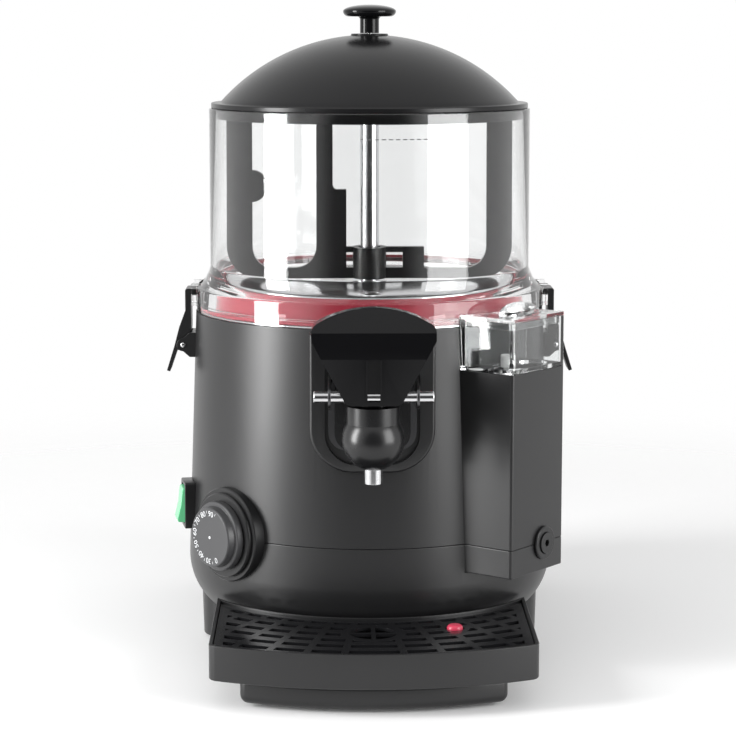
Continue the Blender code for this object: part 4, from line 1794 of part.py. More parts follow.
def main():
    """Build every piece, hang it on the bowl's axis and give it its material."""
    clear_scene()
    pieces = build_stand()
    pieces += [build_lower_housing(), build_upper_housing()]
    pieces += build_water_filler()
    pieces += build_drain()
    pieces += build_bowl()
    pieces += build_latches()
    pieces += build_drive()
    pieces.append(build_stirrer())
    pieces += build_lid()
    pieces += build_tap()
    pieces += [build_tap_lever(), build_outlet_tube()]
    pieces += build_controls()
    pieces += build_tray()

    stand_axis = bpy.data.objects.new("bowl_axis", None)
    stand_axis.location = (0, AXIS_Y, 0)
    bpy.context.scene.collection.objects.link(stand_axis)
    finishes = material_table()
    chosen = {name: finishes[finish_name] for finish_name, names in FINISH_OF_PIECE.items() for name in names}
    for piece in pieces:
        finish(piece, chosen.get(piece.name, finishes["housing"]))
        piece.parent = stand_axis


main()
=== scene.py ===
"""Hot chocolate dispenser: the finished look of every piece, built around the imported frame.

The pieces are modelled about the bowl's axis, with X to the machine's right, -Y to its front and
+Z up, in metres, and each one is set on the frame's axis when it is finished.
"""
from __future__ import annotations

import logging
import math
import sys
from collections.abc import Callable, Sequence
from dataclasses import dataclass
from enum import Enum

import bmesh
import bpy
from mathutils import Matrix, Vector


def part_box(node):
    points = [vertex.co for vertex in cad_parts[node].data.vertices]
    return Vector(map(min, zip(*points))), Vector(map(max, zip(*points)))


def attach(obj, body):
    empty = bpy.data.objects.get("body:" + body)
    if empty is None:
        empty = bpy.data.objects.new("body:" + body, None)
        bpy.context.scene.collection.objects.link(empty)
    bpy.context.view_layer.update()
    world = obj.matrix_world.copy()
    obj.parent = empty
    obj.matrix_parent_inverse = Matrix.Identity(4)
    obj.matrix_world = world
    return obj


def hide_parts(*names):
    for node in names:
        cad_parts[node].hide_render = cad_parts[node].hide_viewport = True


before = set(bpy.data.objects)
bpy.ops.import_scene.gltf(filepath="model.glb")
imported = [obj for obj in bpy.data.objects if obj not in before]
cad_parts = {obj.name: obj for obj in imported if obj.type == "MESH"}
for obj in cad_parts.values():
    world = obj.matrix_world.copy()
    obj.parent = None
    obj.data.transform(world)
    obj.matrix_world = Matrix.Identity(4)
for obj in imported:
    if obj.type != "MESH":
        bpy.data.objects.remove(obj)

LOG = logging.getLogger("dispenser")
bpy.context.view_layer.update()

TINY = 0.000002
FINE_STEPS = 180
ROUND_STEPS = 72
SMALL_STEPS = 40
SHARP = math.radians(30)
RIGHT = math.pi / 2
SCREW_SINK = 0.3
SCREW_CROWN = 0.55
CROSS_REACH = 0.55
CROSS_HALF_WIDTH = 0.13
CROSS_FLOOR = 0.25

Point = tuple[float, float]
Place = tuple[float, float, float]
Colour = tuple[float, float, float]


def frame_axis() -> Vector:
    """The bowl's axis in the frame, at floor level."""
    low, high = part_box("bowl_seal")
    return Vector(((low.x + high.x) / 2, (low.y + high.y) / 2, 0.0))


AXIS = frame_axis()


class Slot(Enum):
    """The record's material slots."""

    HOUSING = "housing_plastic"
    LID = "lid_plastic"
    GLOSS = "gloss_plastic"
    SATIN = "satin_plastic"
    CLEAR = "clear_plastic"
    POLISHED = "polished_steel"
    SHEET = "sheet_steel"
    MOTOR = "motor_paint"
    SEAL = "seal_rubber"
    FLOAT = "float_red"
    ROCKER = "rocker_green"
    FOOT = "foot_rubber"
    WHITE = "white_plastic"


class Join(Enum):
    """How two solids are combined."""

    CUT = "DIFFERENCE"
    ADD = "UNION"
    KEEP = "INTERSECT"


class Lay(Enum):
    """The direction in which a metal was brushed or turned."""

    RINGS = (0.02, 0.02, 1.0)
    UPRIGHT = (1.0, 1.0, 0.02)
    ACROSS = (0.02, 1.0, 1.0)


class Number:
    """A value in a node tree: a node's socket with Python arithmetic."""

    def __init__(self, paint: "Nodes", socket: bpy.types.NodeSocket) -> None:
        """Keep the socket and the tree that it belongs to."""
        self.paint = paint
        self.socket = socket

    def _math(self, operation: str, first: object, second: object) -> "Number":
        """Add one Math node."""
        return self.paint.node("ShaderNodeMath", {"operation": operation}, {0: first, 1: second})

    def __add__(self, other: object) -> "Number":
        """Sum."""
        return self._math("ADD", self, other)

    __radd__ = __add__

    def __sub__(self, other: object) -> "Number":
        """Difference."""
        return self._math("SUBTRACT", self, other)

    def __rsub__(self, other: object) -> "Number":
        """Difference from a number."""
        return self._math("SUBTRACT", other, self)

    def __mul__(self, other: object) -> "Number":
        """Product."""
        return self._math("MULTIPLY", self, other)

    __rmul__ = __mul__

    def power(self, exponent: float) -> "Number":
        """This value to a power."""
        return self._math("POWER", self, exponent)


class Nodes:
    """A node tree while it is put together."""

    def __init__(self, tree: bpy.types.NodeTree) -> None:
        """Keep the tree."""
        self.tree = tree

    def node(
        self, kind: str, settings: dict[str, object] | None = None,
        values: dict[object, object] | None = None, output: object = 0,
    ) -> Number:
        """Add a node.

        Args:
            kind: the node's type.
            settings: attributes that are set before its sockets.
            values: values or links, by input name or number.
            output: the output that the result stands for.

        Returns:
            The chosen output.
        """
        made = self.tree.nodes.new(kind)
        for name, value in (settings or {}).items():
            setattr(made, name, value)
        for key, value in (values or {}).items():
            self.feed(made.inputs[key], value)
        return Number(self, made.outputs[output])

    def feed(self, socket: bpy.types.NodeSocket, value: object) -> None:
        """Link a Number to an input, or set it to a plain value."""
        if isinstance(value, Number):
            self.tree.links.new(value.socket, socket)
        else:
            socket.default_value = value


class Paint(Nodes):
    """One material while its nodes are put together."""

    def __init__(self, name: str) -> None:
        """Start a material with its Principled shader."""
        self.material = bpy.data.materials.new(name)
        self.material.use_nodes = True
        super().__init__(self.material.node_tree)
        self.shader = self.tree.nodes["Principled BSDF"]

    def set(self, **inputs: object) -> None:
        """Set or link inputs of the Principled shader, with spaces written as underscores."""
        for name, value in inputs.items():
            self.feed(self.shader.inputs[name.replace("_", " ")], value)

    def coordinates(self, stretch: Place = (1.0, 1.0, 1.0)) -> Number:
        """Object coordinates in metres, stretched along each axis."""
        place = self.node("ShaderNodeTexCoord", output="Object")
        return self.node("ShaderNodeMapping", values={"Vector": place, "Scale": stretch})

    def noise(self, size: float, detail: float = 2.0, stretch: Place = (1.0, 1.0, 1.0)) -> Number:
        """Smooth noise.

        Args:
            size: the width of its features in metres.
            detail: how many finer layers it has.
            stretch: the scale along each axis.

        Returns:
            A value about a half.
        """
        values = {"Vector": self.coordinates(stretch), "Scale": 1.0 / size, "Detail": detail}
        return self.node("ShaderNodeTexNoise", values=values)

    def mix(self, share: object, first: Colour, second: Colour) -> Number:
        """Blend two colours by a share."""
        values = {"Factor": share, 6: (*first, 1.0), 7: (*second, 1.0)}
        return self.node("ShaderNodeMix", {"data_type": "RGBA"}, values, 2)

    def bump(self, height: Number, depth: float, strength: float) -> Number:
        """Turn a height into a normal, for a relief of a depth in metres."""
        return self.node("ShaderNodeBump", values={"Height": height, "Distance": depth, "Strength": strength})


def lighter(colour: Colour, factor: float) -> Colour:
    """A colour with each part scaled."""
    return tuple(min(1.0, part * factor) for part in colour)


@dataclass(frozen=True)
class Moulded:
    """A moulded plastic or rubber, with its grain, mottle and handling marks."""

    name: str
    slot: Slot
    colour: Colour
    roughness: float
    grain_size: float = 0.0007
    grain_depth: float = 0.00002
    grain_strength: float = 0.3
    mottle: float = 0.14
    smudge: float = 0.08
    specular: float = 0.4
    coat: float = 0.0
    glow: float = 0.0
    cloud_size: float = 0.06
    smear_size: float = 0.022
    smear_stretch: Place = (1.0, 1.0, 0.35)

    def material(self) -> bpy.types.Material:
        """The material, made once.

        Returns:
            The plastic's material.
        """
        known = bpy.data.materials.get(self.name)
        if known:
            return known
        paint = Paint(self.name)
        cloud = paint.noise(self.cloud_size, 3.0)
        smear = paint.noise(self.smear_size, 4.0, self.smear_stretch)
        speck = paint.noise(self.grain_size)
        dark, light = lighter(self.colour, 1.0 - self.mottle), lighter(self.colour, 1.0 + self.mottle)
        paint.set(
            Base_Color=paint.mix(cloud, dark, light),
            Roughness=smear * self.smudge + (self.roughness - self.smudge / 2),
            Normal=paint.bump(speck, self.grain_depth, self.grain_strength), Specular_IOR_Level=self.specular,
            Coat_Weight=self.coat, Coat_Roughness=self.roughness / 3,
        )
        if self.glow:
            paint.set(Emission_Color=(*self.colour, 1.0), Emission_Strength=self.glow)
        return paint.material


@dataclass(frozen=True)
class Steel:
    """A brushed or turned stainless sheet."""

    name: str
    slot: Slot
    colour: Colour
    roughness: float
    lay: Lay = Lay.UPRIGHT
    line: float = 0.0004
    depth: float = 0.000006
    relief: float = 0.5
    spread: float = 0.12
    cloud_size: float = 0.03
    shades: Point = (0.9, 1.08)

    def material(self) -> bpy.types.Material:
        """The material, made once.

        Returns:
            The metal's material.
        """
        known = bpy.data.materials.get(self.name)
        if known:
            return known
        paint = Paint(self.name)
        lines = paint.noise(self.line, 3.0, self.lay.value)
        cloud = paint.noise(self.cloud_size)
        dark, light = (lighter(self.colour, shade) for shade in self.shades)
        paint.set(
            Base_Color=paint.mix(cloud, dark, light), Metallic=1.0,
            Roughness=lines * self.spread + (self.roughness - self.spread / 2),
            Normal=paint.bump(lines, self.depth, self.relief),
        )
        return paint.material


@dataclass(frozen=True)
class Clear:
    """A clear moulded plastic with faint scuffs."""

    name: str
    slot: Slot
    colour: Colour
    roughness: float = 0.0
    index: float = 1.47
    scuff_size: float = 0.012
    scuff_shade: float = 0.97
    scuff_roughness: float = 0.08
    scuff_sharpness: float = 4.0

    def material(self) -> bpy.types.Material:
        """The material, made once.

        Returns:
            The clear plastic's material.
        """
        known = bpy.data.materials.get(self.name)
        if known:
            return known
        paint = Paint(self.name)
        scuff = paint.noise(self.scuff_size, 4.0)
        paint.set(
            Base_Color=paint.mix(scuff, self.colour, lighter(self.colour, self.scuff_shade)),
            Transmission_Weight=1.0, IOR=self.index,
            Roughness=scuff.power(self.scuff_sharpness) * self.scuff_roughness + self.roughness,
        )
        return paint.material


Finish = Moulded | Steel | Clear

HOUSING = Moulded("grained_housing", Slot.HOUSING, (0.010, 0.010, 0.0105), 0.35, specular=0.48)
LID_BLACK = Moulded("lid_black", Slot.LID, (0.007, 0.007, 0.0075), 0.24, 0.0009, 0.00001, 0.2, specular=0.26)
GLOSS = Moulded(
    "gloss_black", Slot.GLOSS, (0.004, 0.004, 0.0045), 0.10, 0.004, 0.00001, 0.10, smudge=0.05, specular=0.20,
)
BULB = Moulded(
    "tap_black", Slot.GLOSS, (0.007, 0.007, 0.0075), 0.27, 0.001, 0.00001, 0.15, smudge=0.05, specular=0.45,
)
GRATE = Moulded(
    "grate_black", Slot.GLOSS, (0.010, 0.010, 0.011), 0.16, 0.002, 0.00001, 0.15, smudge=0.06, specular=0.6,
)
SATIN = Moulded("satin_black", Slot.SATIN, (0.010, 0.010, 0.0105), 0.32, specular=0.40)
DIAL_FACE = Moulded("dial_black", Slot.SATIN, (0.045, 0.045, 0.047), 0.38, specular=0.45)
CLEAR = Clear("clear_bowl", Slot.CLEAR, (0.97, 0.975, 0.975))
CLEAR_BOX = Clear("clear_box", Slot.CLEAR, (0.93, 0.94, 0.94), 0.02)
TURNED = Steel("turned_steel", Slot.POLISHED, (0.66, 0.66, 0.67), 0.16, Lay.RINGS)
SHEET = Steel("brushed_sheet", Slot.SHEET, (0.55, 0.55, 0.56), 0.30, Lay.UPRIGHT)
DARK_SHEET = Steel("blackened_sheet", Slot.SHEET, (0.10, 0.10, 0.104), 0.34, Lay.UPRIGHT)
FLOOR_STEEL = Steel("drawn_floor", Slot.POLISHED, (0.66, 0.66, 0.67), 0.14, Lay.ACROSS, 0.0012)
ENAMEL = Moulded("motor_enamel", Slot.MOTOR, (0.11, 0.11, 0.12), 0.45)
SEAL = Moulded("red_silicone", Slot.SEAL, (0.42, 0.025, 0.05), 0.42, 0.0012, 0.00002, 0.2)
RED = Moulded("red_float", Slot.FLOAT, (0.50, 0.045, 0.085), 0.25, 0.002, 0.00001, 0.1)
GREEN = Moulded(
    "green_rocker", Slot.ROCKER, (0.10, 0.42, 0.20), 0.18, 0.003, 0.00001, 0.1, specular=0.5, glow=0.25,
)
RUBBER = Moulded("foot_rubber", Slot.FOOT, (0.015, 0.015, 0.015), 0.75)
WHITE = Moulded("white_moulding", Slot.WHITE, (0.78, 0.78, 0.77), 0.38, mottle=0.04)
PRINT = Moulded("dial_print", Slot.WHITE, (0.60, 0.61, 0.62), 0.5, mottle=0.04)
LEVEL_GREY = Moulded("level_grey", Slot.WHITE, (0.10, 0.10, 0.10), 0.5, mottle=0.04)


def arc(centre: Point, radius: float, start: float, end: float, steps: int) -> list[Point]:
    """Points on an arc.

    Args:
        centre: the arc's centre.
        radius: its radius.
        start: the first angle.
        end: the last angle.
        steps: how many chords it has.

    Returns:
        The points, both ends kept.
    """
    turns = [start + (end - start) * step / steps for step in range(steps + 1)]
    return [(centre[0] + radius * math.cos(turn), centre[1] + radius * math.sin(turn)) for turn in turns]


def bowed(half: float, tip: float, bow: float, corner: float, steps: int = 48) -> list[Point]:
    """The bowed end of an outline, with rounded corners, from its right side to its left.

    Args:
        half: half of its width.
        tip: the height of the bow's highest point.
        bow: the bow's radius.
        corner: the radius of both corners.
        steps: how many chords the bow has.

    Returns:
        The points.
    """
    swing = math.asin((half - corner) / (bow - corner))
    level = tip - bow + math.sqrt((bow - corner) ** 2 - (half - corner) ** 2)
    right = arc((half - corner, level), corner, 0.0, RIGHT - swing, 10)
    left = arc((corner - half, level), corner, RIGHT + swing, math.pi, 10)
    return right[:-1] + arc((0.0, tip - bow), bow, RIGHT - swing, RIGHT + swing, steps) + left[1:]


def facing(angle: float) -> Matrix:
    """A frame whose X points outwards at an angle from the front, with Y along the wall."""
    return Matrix.Rotation(angle - RIGHT, 4, "Z")


def oblong(low_x: float, high_x: float, low_y: float, high_y: float) -> list[Point]:
    """Corners of a rectangle, anticlockwise."""
    return [(low_x, low_y), (high_x, low_y), (high_x, high_y), (low_x, high_y)]


class Solid:
    """A closed shape under construction, in the bowl's own frame."""

    def __init__(self, mesh: bmesh.types.BMesh) -> None:
        """Keep the mesh."""
        self.mesh = mesh

    @classmethod
    def turned(cls, profile: Sequence[Point], steps: int = ROUND_STEPS) -> "Solid":
        """Spin a profile round the Z axis.

        Args:
            profile: (radius, height) points. A ring's profile closes on itself.
            steps: how many facets go round.

        Returns:
            The turned solid.
        """
        mesh = bmesh.new()
        verts = [mesh.verts.new((radius, 0.0, height)) for radius, height in profile]
        pairs = list(zip(verts, verts[1:]))
        if profile[0][0] > TINY or profile[-1][0] > TINY:
            pairs.append((verts[-1], verts[0]))
        edges = [mesh.edges.new(pair) for pair in pairs]
        bmesh.ops.spin(
            mesh, geom=verts + edges, cent=(0, 0, 0), axis=(0, 0, 1), angle=math.tau, steps=steps,
            use_merge=True,
        )
        return cls(mesh).tidied()

    @classmethod
    def slab(cls, corners: Sequence[Point], low: float, high: float, corner_radius: float = 0.0) -> "Solid":
        """Raise an outline into an upright block.

        Args:
            corners: the plan's points.
            low: the underside.
            high: the top.
            corner_radius: rounding of its upright edges.

        Returns:
            The block.
        """
        mesh = bmesh.new()
        base = mesh.faces.new([mesh.verts.new((x, y, low)) for x, y in corners])
        raised = bmesh.ops.extrude_face_region(mesh, geom=[base], use_keep_orig=True)
        top = [item for item in raised["geom"] if isinstance(item, bmesh.types.BMVert)]
        bmesh.ops.translate(mesh, verts=top, vec=(0, 0, high - low))
        made = cls(mesh).tidied()
        if corner_radius:
            made.rounded(lambda a, b: abs(a.z - b.z) > TINY, corner_radius, 8)
        return made

    @classmethod
    def upright(
        cls, corners: Sequence[Point], near: float, far: float, corner_radius: float = 0.0,
    ) -> "Solid":
        """Raise an outline of (x, z) points along Y, from near to far."""
        swap = Matrix(((1, 0, 0, 0), (0, 0, 1, 0), (0, 1, 0, 0), (0, 0, 0, 1)))
        return cls.slab(corners, near, far, corner_radius).moved(swap)

    @classmethod
    def sideways(
        cls, corners: Sequence[Point], low: float, high: float, corner_radius: float = 0.0,
    ) -> "Solid":
        """Raise an outline of (y, z) points along X, from low to high."""
        swap = Matrix(((0, 0, 1, 0), (1, 0, 0, 0), (0, 1, 0, 0), (0, 0, 0, 1)))
        return cls.slab(corners, low, high, corner_radius).moved(swap)

    @classmethod
    def block(cls, low: Place, high: Place) -> "Solid":
        """A box between two corners."""
        return cls.slab(oblong(low[0], high[0], low[1], high[1]), low[2], high[2])

    @classmethod
    def rod(cls, radius: float, start: Place, end: Place, steps: int = SMALL_STEPS) -> "Solid":
        """A cylinder between two points.

        Args:
            radius: its radius.
            start: the middle of one end.
            end: the middle of the other.
            steps: how many facets go round.

        Returns:
            The cylinder.
        """
        mesh = bmesh.new()
        along = Vector(end) - Vector(start)
        bmesh.ops.create_cone(
            mesh, cap_ends=True, segments=steps, radius1=radius, radius2=radius, depth=along.length,
        )
        turn = along.to_track_quat("Z", "Y").to_matrix().to_4x4()
        return cls(mesh).moved(Matrix.Translation((Vector(start) + Vector(end)) / 2) @ turn)

    @classmethod
    def pillar(
        cls, radius: float, low: float, high: float, place: Point = (0.0, 0.0), steps: int = SMALL_STEPS,
    ) -> "Solid":
        """An upright cylinder.

        Args:
            radius: its radius.
            low: the height of its foot.
            high: the height of its top.
            place: where it stands.
            steps: how many facets go round.

        Returns:
            The cylinder.
        """
        return cls.rod(radius, (*place, low), (*place, high), steps)

    @classmethod
    def of_node(cls, name: str) -> "Solid":
        """A merged copy of a frame node, with its flat faces whole."""
        mesh = bmesh.new()
        mesh.from_mesh(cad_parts[name].data)
        bmesh.ops.translate(mesh, verts=mesh.verts, vec=-AXIS)
        bmesh.ops.remove_doubles(mesh, verts=mesh.verts, dist=TINY)
        bmesh.ops.dissolve_limit(mesh, angle_limit=math.radians(0.5), verts=mesh.verts, edges=mesh.edges)
        return cls(mesh)

    def tidied(self) -> "Solid":
        """Merge doubles and point the faces outwards."""
        bmesh.ops.remove_doubles(self.mesh, verts=self.mesh.verts, dist=TINY)
        bmesh.ops.recalc_face_normals(self.mesh, faces=self.mesh.faces)
        return self

    def moved(self, matrix: Matrix) -> "Solid":
        """Place the solid, keeping its faces outwards if the matrix mirrors it."""
        bmesh.ops.transform(self.mesh, matrix=matrix, verts=self.mesh.verts)
        if matrix.determinant() < 0:
            bmesh.ops.reverse_faces(self.mesh, faces=self.mesh.faces)
        return self

    def rounded(self, test: Callable[[Vector, Vector], bool], width: float, steps: int = 3) -> "Solid":
        """Round the edges that pass a test on their two ends.

        Args:
            test: takes an edge's ends.
            width: the rounding's radius.
            steps: its facets.

        Returns:
            This solid.
        """
        chosen = [edge for edge in self.mesh.edges if test(edge.verts[0].co, edge.verts[1].co)]
        bmesh.ops.bevel(
            self.mesh, geom=chosen, offset=width, offset_type="OFFSET", segments=steps, profile=0.5,
            affect="EDGES", material=-1, clamp_overlap=True,
        )
        return self

    def rounded_at(self, height: float, width: float, steps: int = 4) -> "Solid":
        """Round the edges of a level face at a height."""
        level = TINY * 5
        return self.rounded(
            lambda a, b: abs(a.z - height) < level and abs(b.z - height) < level, width, steps,
        )

    def _work_object(self) -> bpy.types.Object:
        """A linked object with this shape, for a Boolean."""
        data = bpy.data.meshes.new("work")
        self.mesh.to_mesh(data)
        made = bpy.data.objects.new("work", data)
        bpy.context.scene.collection.objects.link(made)
        return made

    def joined(self, how: Join, *others: "Solid") -> "Solid":
        """Combine this solid with others, one after another.

        Args:
            how: cut them out, add them or keep what is in both.
            others: the other solids, which are used up.

        Returns:
            This solid.
        """
        for other in others:
            work = self._work_object()
            tool = other._work_object()
            step = work.modifiers.new("join", "BOOLEAN")
            step.operation = how.value
            step.solver = "EXACT"
            step.object = tool
            shape = work.evaluated_get(bpy.context.evaluated_depsgraph_get())
            result = bpy.data.meshes.new_from_object(shape)
            self.mesh.clear()
            self.mesh.from_mesh(result)
            for item in (work, tool):
                data = item.data
                bpy.data.objects.remove(item, do_unlink=True)
                bpy.data.meshes.remove(data)
            bpy.data.meshes.remove(result)
            other.mesh.free()
            bmesh.ops.remove_doubles(self.mesh, verts=self.mesh.verts, dist=TINY)
            bmesh.ops.dissolve_limit(
                self.mesh, angle_limit=math.radians(0.2), verts=self.mesh.verts, edges=self.mesh.edges,
            )
        return self

    def cut(self, *others: "Solid") -> "Solid":
        """Cut other solids out of this one."""
        return self.joined(Join.CUT, *others)

    def add(self, *others: "Solid") -> "Solid":
        """Fuse other solids with this one."""
        return self.joined(Join.ADD, *others)

    def keep(self, other: "Solid") -> "Solid":
        """Keep only what lies inside another solid."""
        return self.joined(Join.KEEP, other)

    def lay_in(self, *others: "Solid") -> "Solid":
        """Put other separate solids in the same mesh."""
        for other in others:
            work = bpy.data.meshes.new("work")
            other.mesh.to_mesh(work)
            self.mesh.from_mesh(work)
            bpy.data.meshes.remove(work)
            other.mesh.free()
        return self

    def finished(self, name: str, material: bpy.types.Material, edge: float, steps: int) -> bpy.types.Object:
        """Make the object, with smooth faces and soft edges.

        Args:
            name: the object's name.
            material: its finish.
            edge: the radius of its soft edges, or zero.
            steps: the facets of each.

        Returns:
            The object, standing at the origin.
        """
        bmesh.ops.translate(self.mesh, verts=self.mesh.verts, vec=AXIS)
        data = bpy.data.meshes.new(name)
        self.mesh.to_mesh(data)
        self.mesh.free()
        data.materials.append(material)
        data.shade_smooth()
        data.set_sharp_from_angle(angle=SHARP)
        made = bpy.data.objects.new(name, data)
        bpy.context.scene.collection.objects.link(made)
        if edge:
            soft = made.modifiers.new("soft_edge", "BEVEL")
            soft.width = edge
            soft.segments = steps
            soft.limit_method = "ANGLE"
            soft.angle_limit = SHARP
            soft.harden_normals = True
        return made


class Assembly:
    """A group of pieces that belong together."""

    def show(
        self, solid: Solid, name: str, finish: Finish, body: str, *nodes: str, edge: float = 0.0005,
        steps: int = 2,
    ) -> bpy.types.Object:
        """Finish a piece and hang it on its body.

        Args:
            solid: the shape.
            name: the piece's name.
            finish: its finish.
            body: the frame body that it rides on.
            nodes: the frame nodes that it stands for.
            edge: the radius of its soft edges.
            steps: the facets of each.

        Returns:
            The piece.
        """
        made = solid.finished(name, finish.material(), edge, steps)
        if nodes:
            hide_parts(*nodes)
        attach(made, body)
        LOG.info("%s: %d faces on %s", name, len(made.data.polygons), body)
        return made

    def refine(
        self, node: str, name: str, finish: Finish, body: str, edge: float = 0.0004,
    ) -> bpy.types.Object:
        """Replace a frame node by a copy with soft edges."""
        return self.show(Solid.of_node(node), name, finish, body, node, edge=edge)

    def screw(self, place: Place, outward: Vector, radius: float) -> Solid:
        """A pan-head screw with a cross recess.

        Args:
            place: the middle of the head's underside.
            outward: the direction in which the head faces.
            radius: the head's radius.

        Returns:
            The screw's head.
        """
        crown = arc((0.0, 0.0), radius, 0.0, RIGHT, 6)
        profile = [(0.0, -radius * SCREW_SINK), (radius, -radius * SCREW_SINK)]
        profile += [(x, z * SCREW_CROWN) for x, z in crown[:-1]] + [(0.0, radius * SCREW_CROWN)]
        head = Solid.turned(profile, 28)
        reach = radius * CROSS_REACH
        slim = radius * CROSS_HALF_WIDTH
        cross = radius * CROSS_FLOOR
        head.cut(
            Solid.block((-reach, -slim, cross), (reach, slim, radius)),
            Solid.block((-slim, -reach, cross), (slim, reach, radius)),
        )
        turn = outward.to_track_quat("Z", "Y").to_matrix().to_4x4()
        return head.moved(Matrix.Translation(place) @ turn)


@dataclass
class Drum(Assembly):
    """The round housing in two mouldings, with the tap pad and the water column."""

    bottom_z: float = 0.0220
    flat_radius: float = 0.0960
    corner_height: float = 0.0420
    seam_z: float = 0.0925
    seam_gap: float = 0.0003
    seam_radius: float = 0.1325
    top_z: float = 0.2440
    top_radius: float = 0.1271
    wall: float = 0.0030
    mouth_radius: float = 0.1126
    pad_half_width: float = 0.0430
    pad_low: float = 0.1465
    pad_high: float = 0.2425
    pad_face: float = -0.1345
    pad_corner: float = 0.0300
    pad_edge: float = 0.0020
    recess_half_width: float = 0.0325
    recess_low: float = 0.1520
    recess_high: float = 0.2260
    recess_depth: float = 0.0035
    recess_corner: float = 0.0220
    column_angle: float = math.radians(52)
    column_face: float = 0.1616
    column_side_low: float = -0.0517
    column_side_high: float = 0.0130
    column_depth: float = 0.0600
    column_low: float = 0.0725
    deck_z: float = 0.2145
    column_edge: float = 0.0022
    well_low: float = 0.1100
    well_half_width: float = 0.0130
    well_half_length: float = 0.0270
    well_setback: float = 0.0170

    def radius(self, height: float) -> float:
        """The outer radius at a height above the rounded foot."""
        slope = (self.top_radius - self.seam_radius) / (self.top_z - self.seam_z)
        return self.seam_radius + slope * (height - self.seam_z)

    def body(self, grow: float, low: float, high: float) -> Solid:
        """The housing's outside as a solid.

        Args:
            grow: how much it is grown outwards.
            low: the height of its underside, if that is above the foot.
            high: the height of its top.

        Returns:
            The solid.
        """
        shoulder = self.bottom_z + self.corner_height
        points = [(self.radius(low) + grow, low)]
        if low < shoulder:
            width = self.radius(shoulder) - self.flat_radius
            turns = [RIGHT * step / 20 for step in range(21)]
            points = [
                (
                    self.flat_radius + (width + grow) * math.sin(turn),
                    shoulder - (self.corner_height + grow) * math.cos(turn),
                )
                for turn in turns
            ]
        points.append((self.radius(high) + grow, high))
        return Solid.turned([(0.0, points[0][1]), *points, (0.0, high)], FINE_STEPS)

    def column(self, margin: float, low: float, high: float) -> Solid:
        """The water column's plan as a block, drawn in by a margin."""
        corners = oblong(
            self.column_face - self.column_depth, self.column_face - margin,
            self.column_side_low + margin, self.column_side_high - margin,
        )
        return Solid.slab(corners, low, high, self.column_edge).moved(facing(self.column_angle))

    def well_middle(self) -> Vector:
        """The well's middle in the column's own frame."""
        return Vector(
            (self.column_face - self.well_setback, (self.column_side_low + self.column_side_high) / 2, 0.0),
        )

    def well(self, margin: float, low: float, high: float) -> Solid:
        """An oval block that fills the well, grown by a negative margin."""
        size = Matrix.Diagonal((self.well_half_width - margin, self.well_half_length - margin, 1.0, 1.0))
        oval = Solid.pillar(1.0, low, high, steps=64).moved(size)
        return oval.moved(facing(self.column_angle) @ Matrix.Translation(self.well_middle()))

    def rounded_foot(self, half: float, low: float, high: float, corner: float, steps: int) -> list[Point]:
        """An upright outline with a square head and a rounded foot.

        Args:
            half: half of its width.
            low: the height of its foot.
            high: the height of its head.
            corner: the radius of its lower corners.
            steps: the chords of each corner.

        Returns:
            The outline's (x, z) points.
        """
        left = arc((-half + corner, low + corner), corner, math.pi, 3 * RIGHT, steps)
        right = arc((half - corner, low + corner), corner, -RIGHT, 0.0, steps)
        return [(half, high), (-half, high), *left, *right]

    def lower(self) -> Solid:
        """The rounded foot of the housing with the column's lower end."""
        top = self.seam_z - self.seam_gap / 2
        shell = self.body(0.0, self.bottom_z, top).add(self.column(0.0, self.column_low, top))
        return shell.cut(self.body(-self.wall, self.bottom_z, top + self.wall))

    def upper(self) -> Solid:
        """The drum with its pad, recess, column and well."""
        low = self.seam_z + self.seam_gap / 2
        inside_top = self.top_z - self.wall
        pad_line = self.rounded_foot(
            self.pad_half_width, self.pad_low, self.pad_high, self.pad_corner, 16,
        )
        pad = Solid.upright(pad_line, self.pad_face, self.pad_face + self.pad_corner)
        face = self.pad_face
        pad.rounded(lambda a, b: abs(a.y - face) < TINY and abs(b.y - face) < TINY, self.pad_edge, 5)
        recess_line = self.rounded_foot(
            self.recess_half_width, self.recess_low, self.recess_high, self.recess_corner, 14,
        )
        shell = self.body(0.0, low, self.top_z)
        shell.add(self.column(0.0, low, self.deck_z), pad)
        shell.cut(
            self.body(-self.wall, low - self.wall, inside_top),
            Solid.pillar(self.mouth_radius, inside_top - self.wall, self.top_z + self.wall, steps=FINE_STEPS),
            Solid.upright(recess_line, self.pad_face - self.wall, self.pad_face + self.recess_depth),
            self.well(0.0, self.well_low, self.deck_z + self.wall),
        )
        return shell

    def build(self) -> None:
        """Make and dress both mouldings."""
        self.show(self.lower(), "drum_foot", HOUSING, "machine", "lower_housing", edge=0.0007)
        self.show(self.upper(), "drum_shell", HOUSING, "machine", "upper_housing", edge=0.0007)


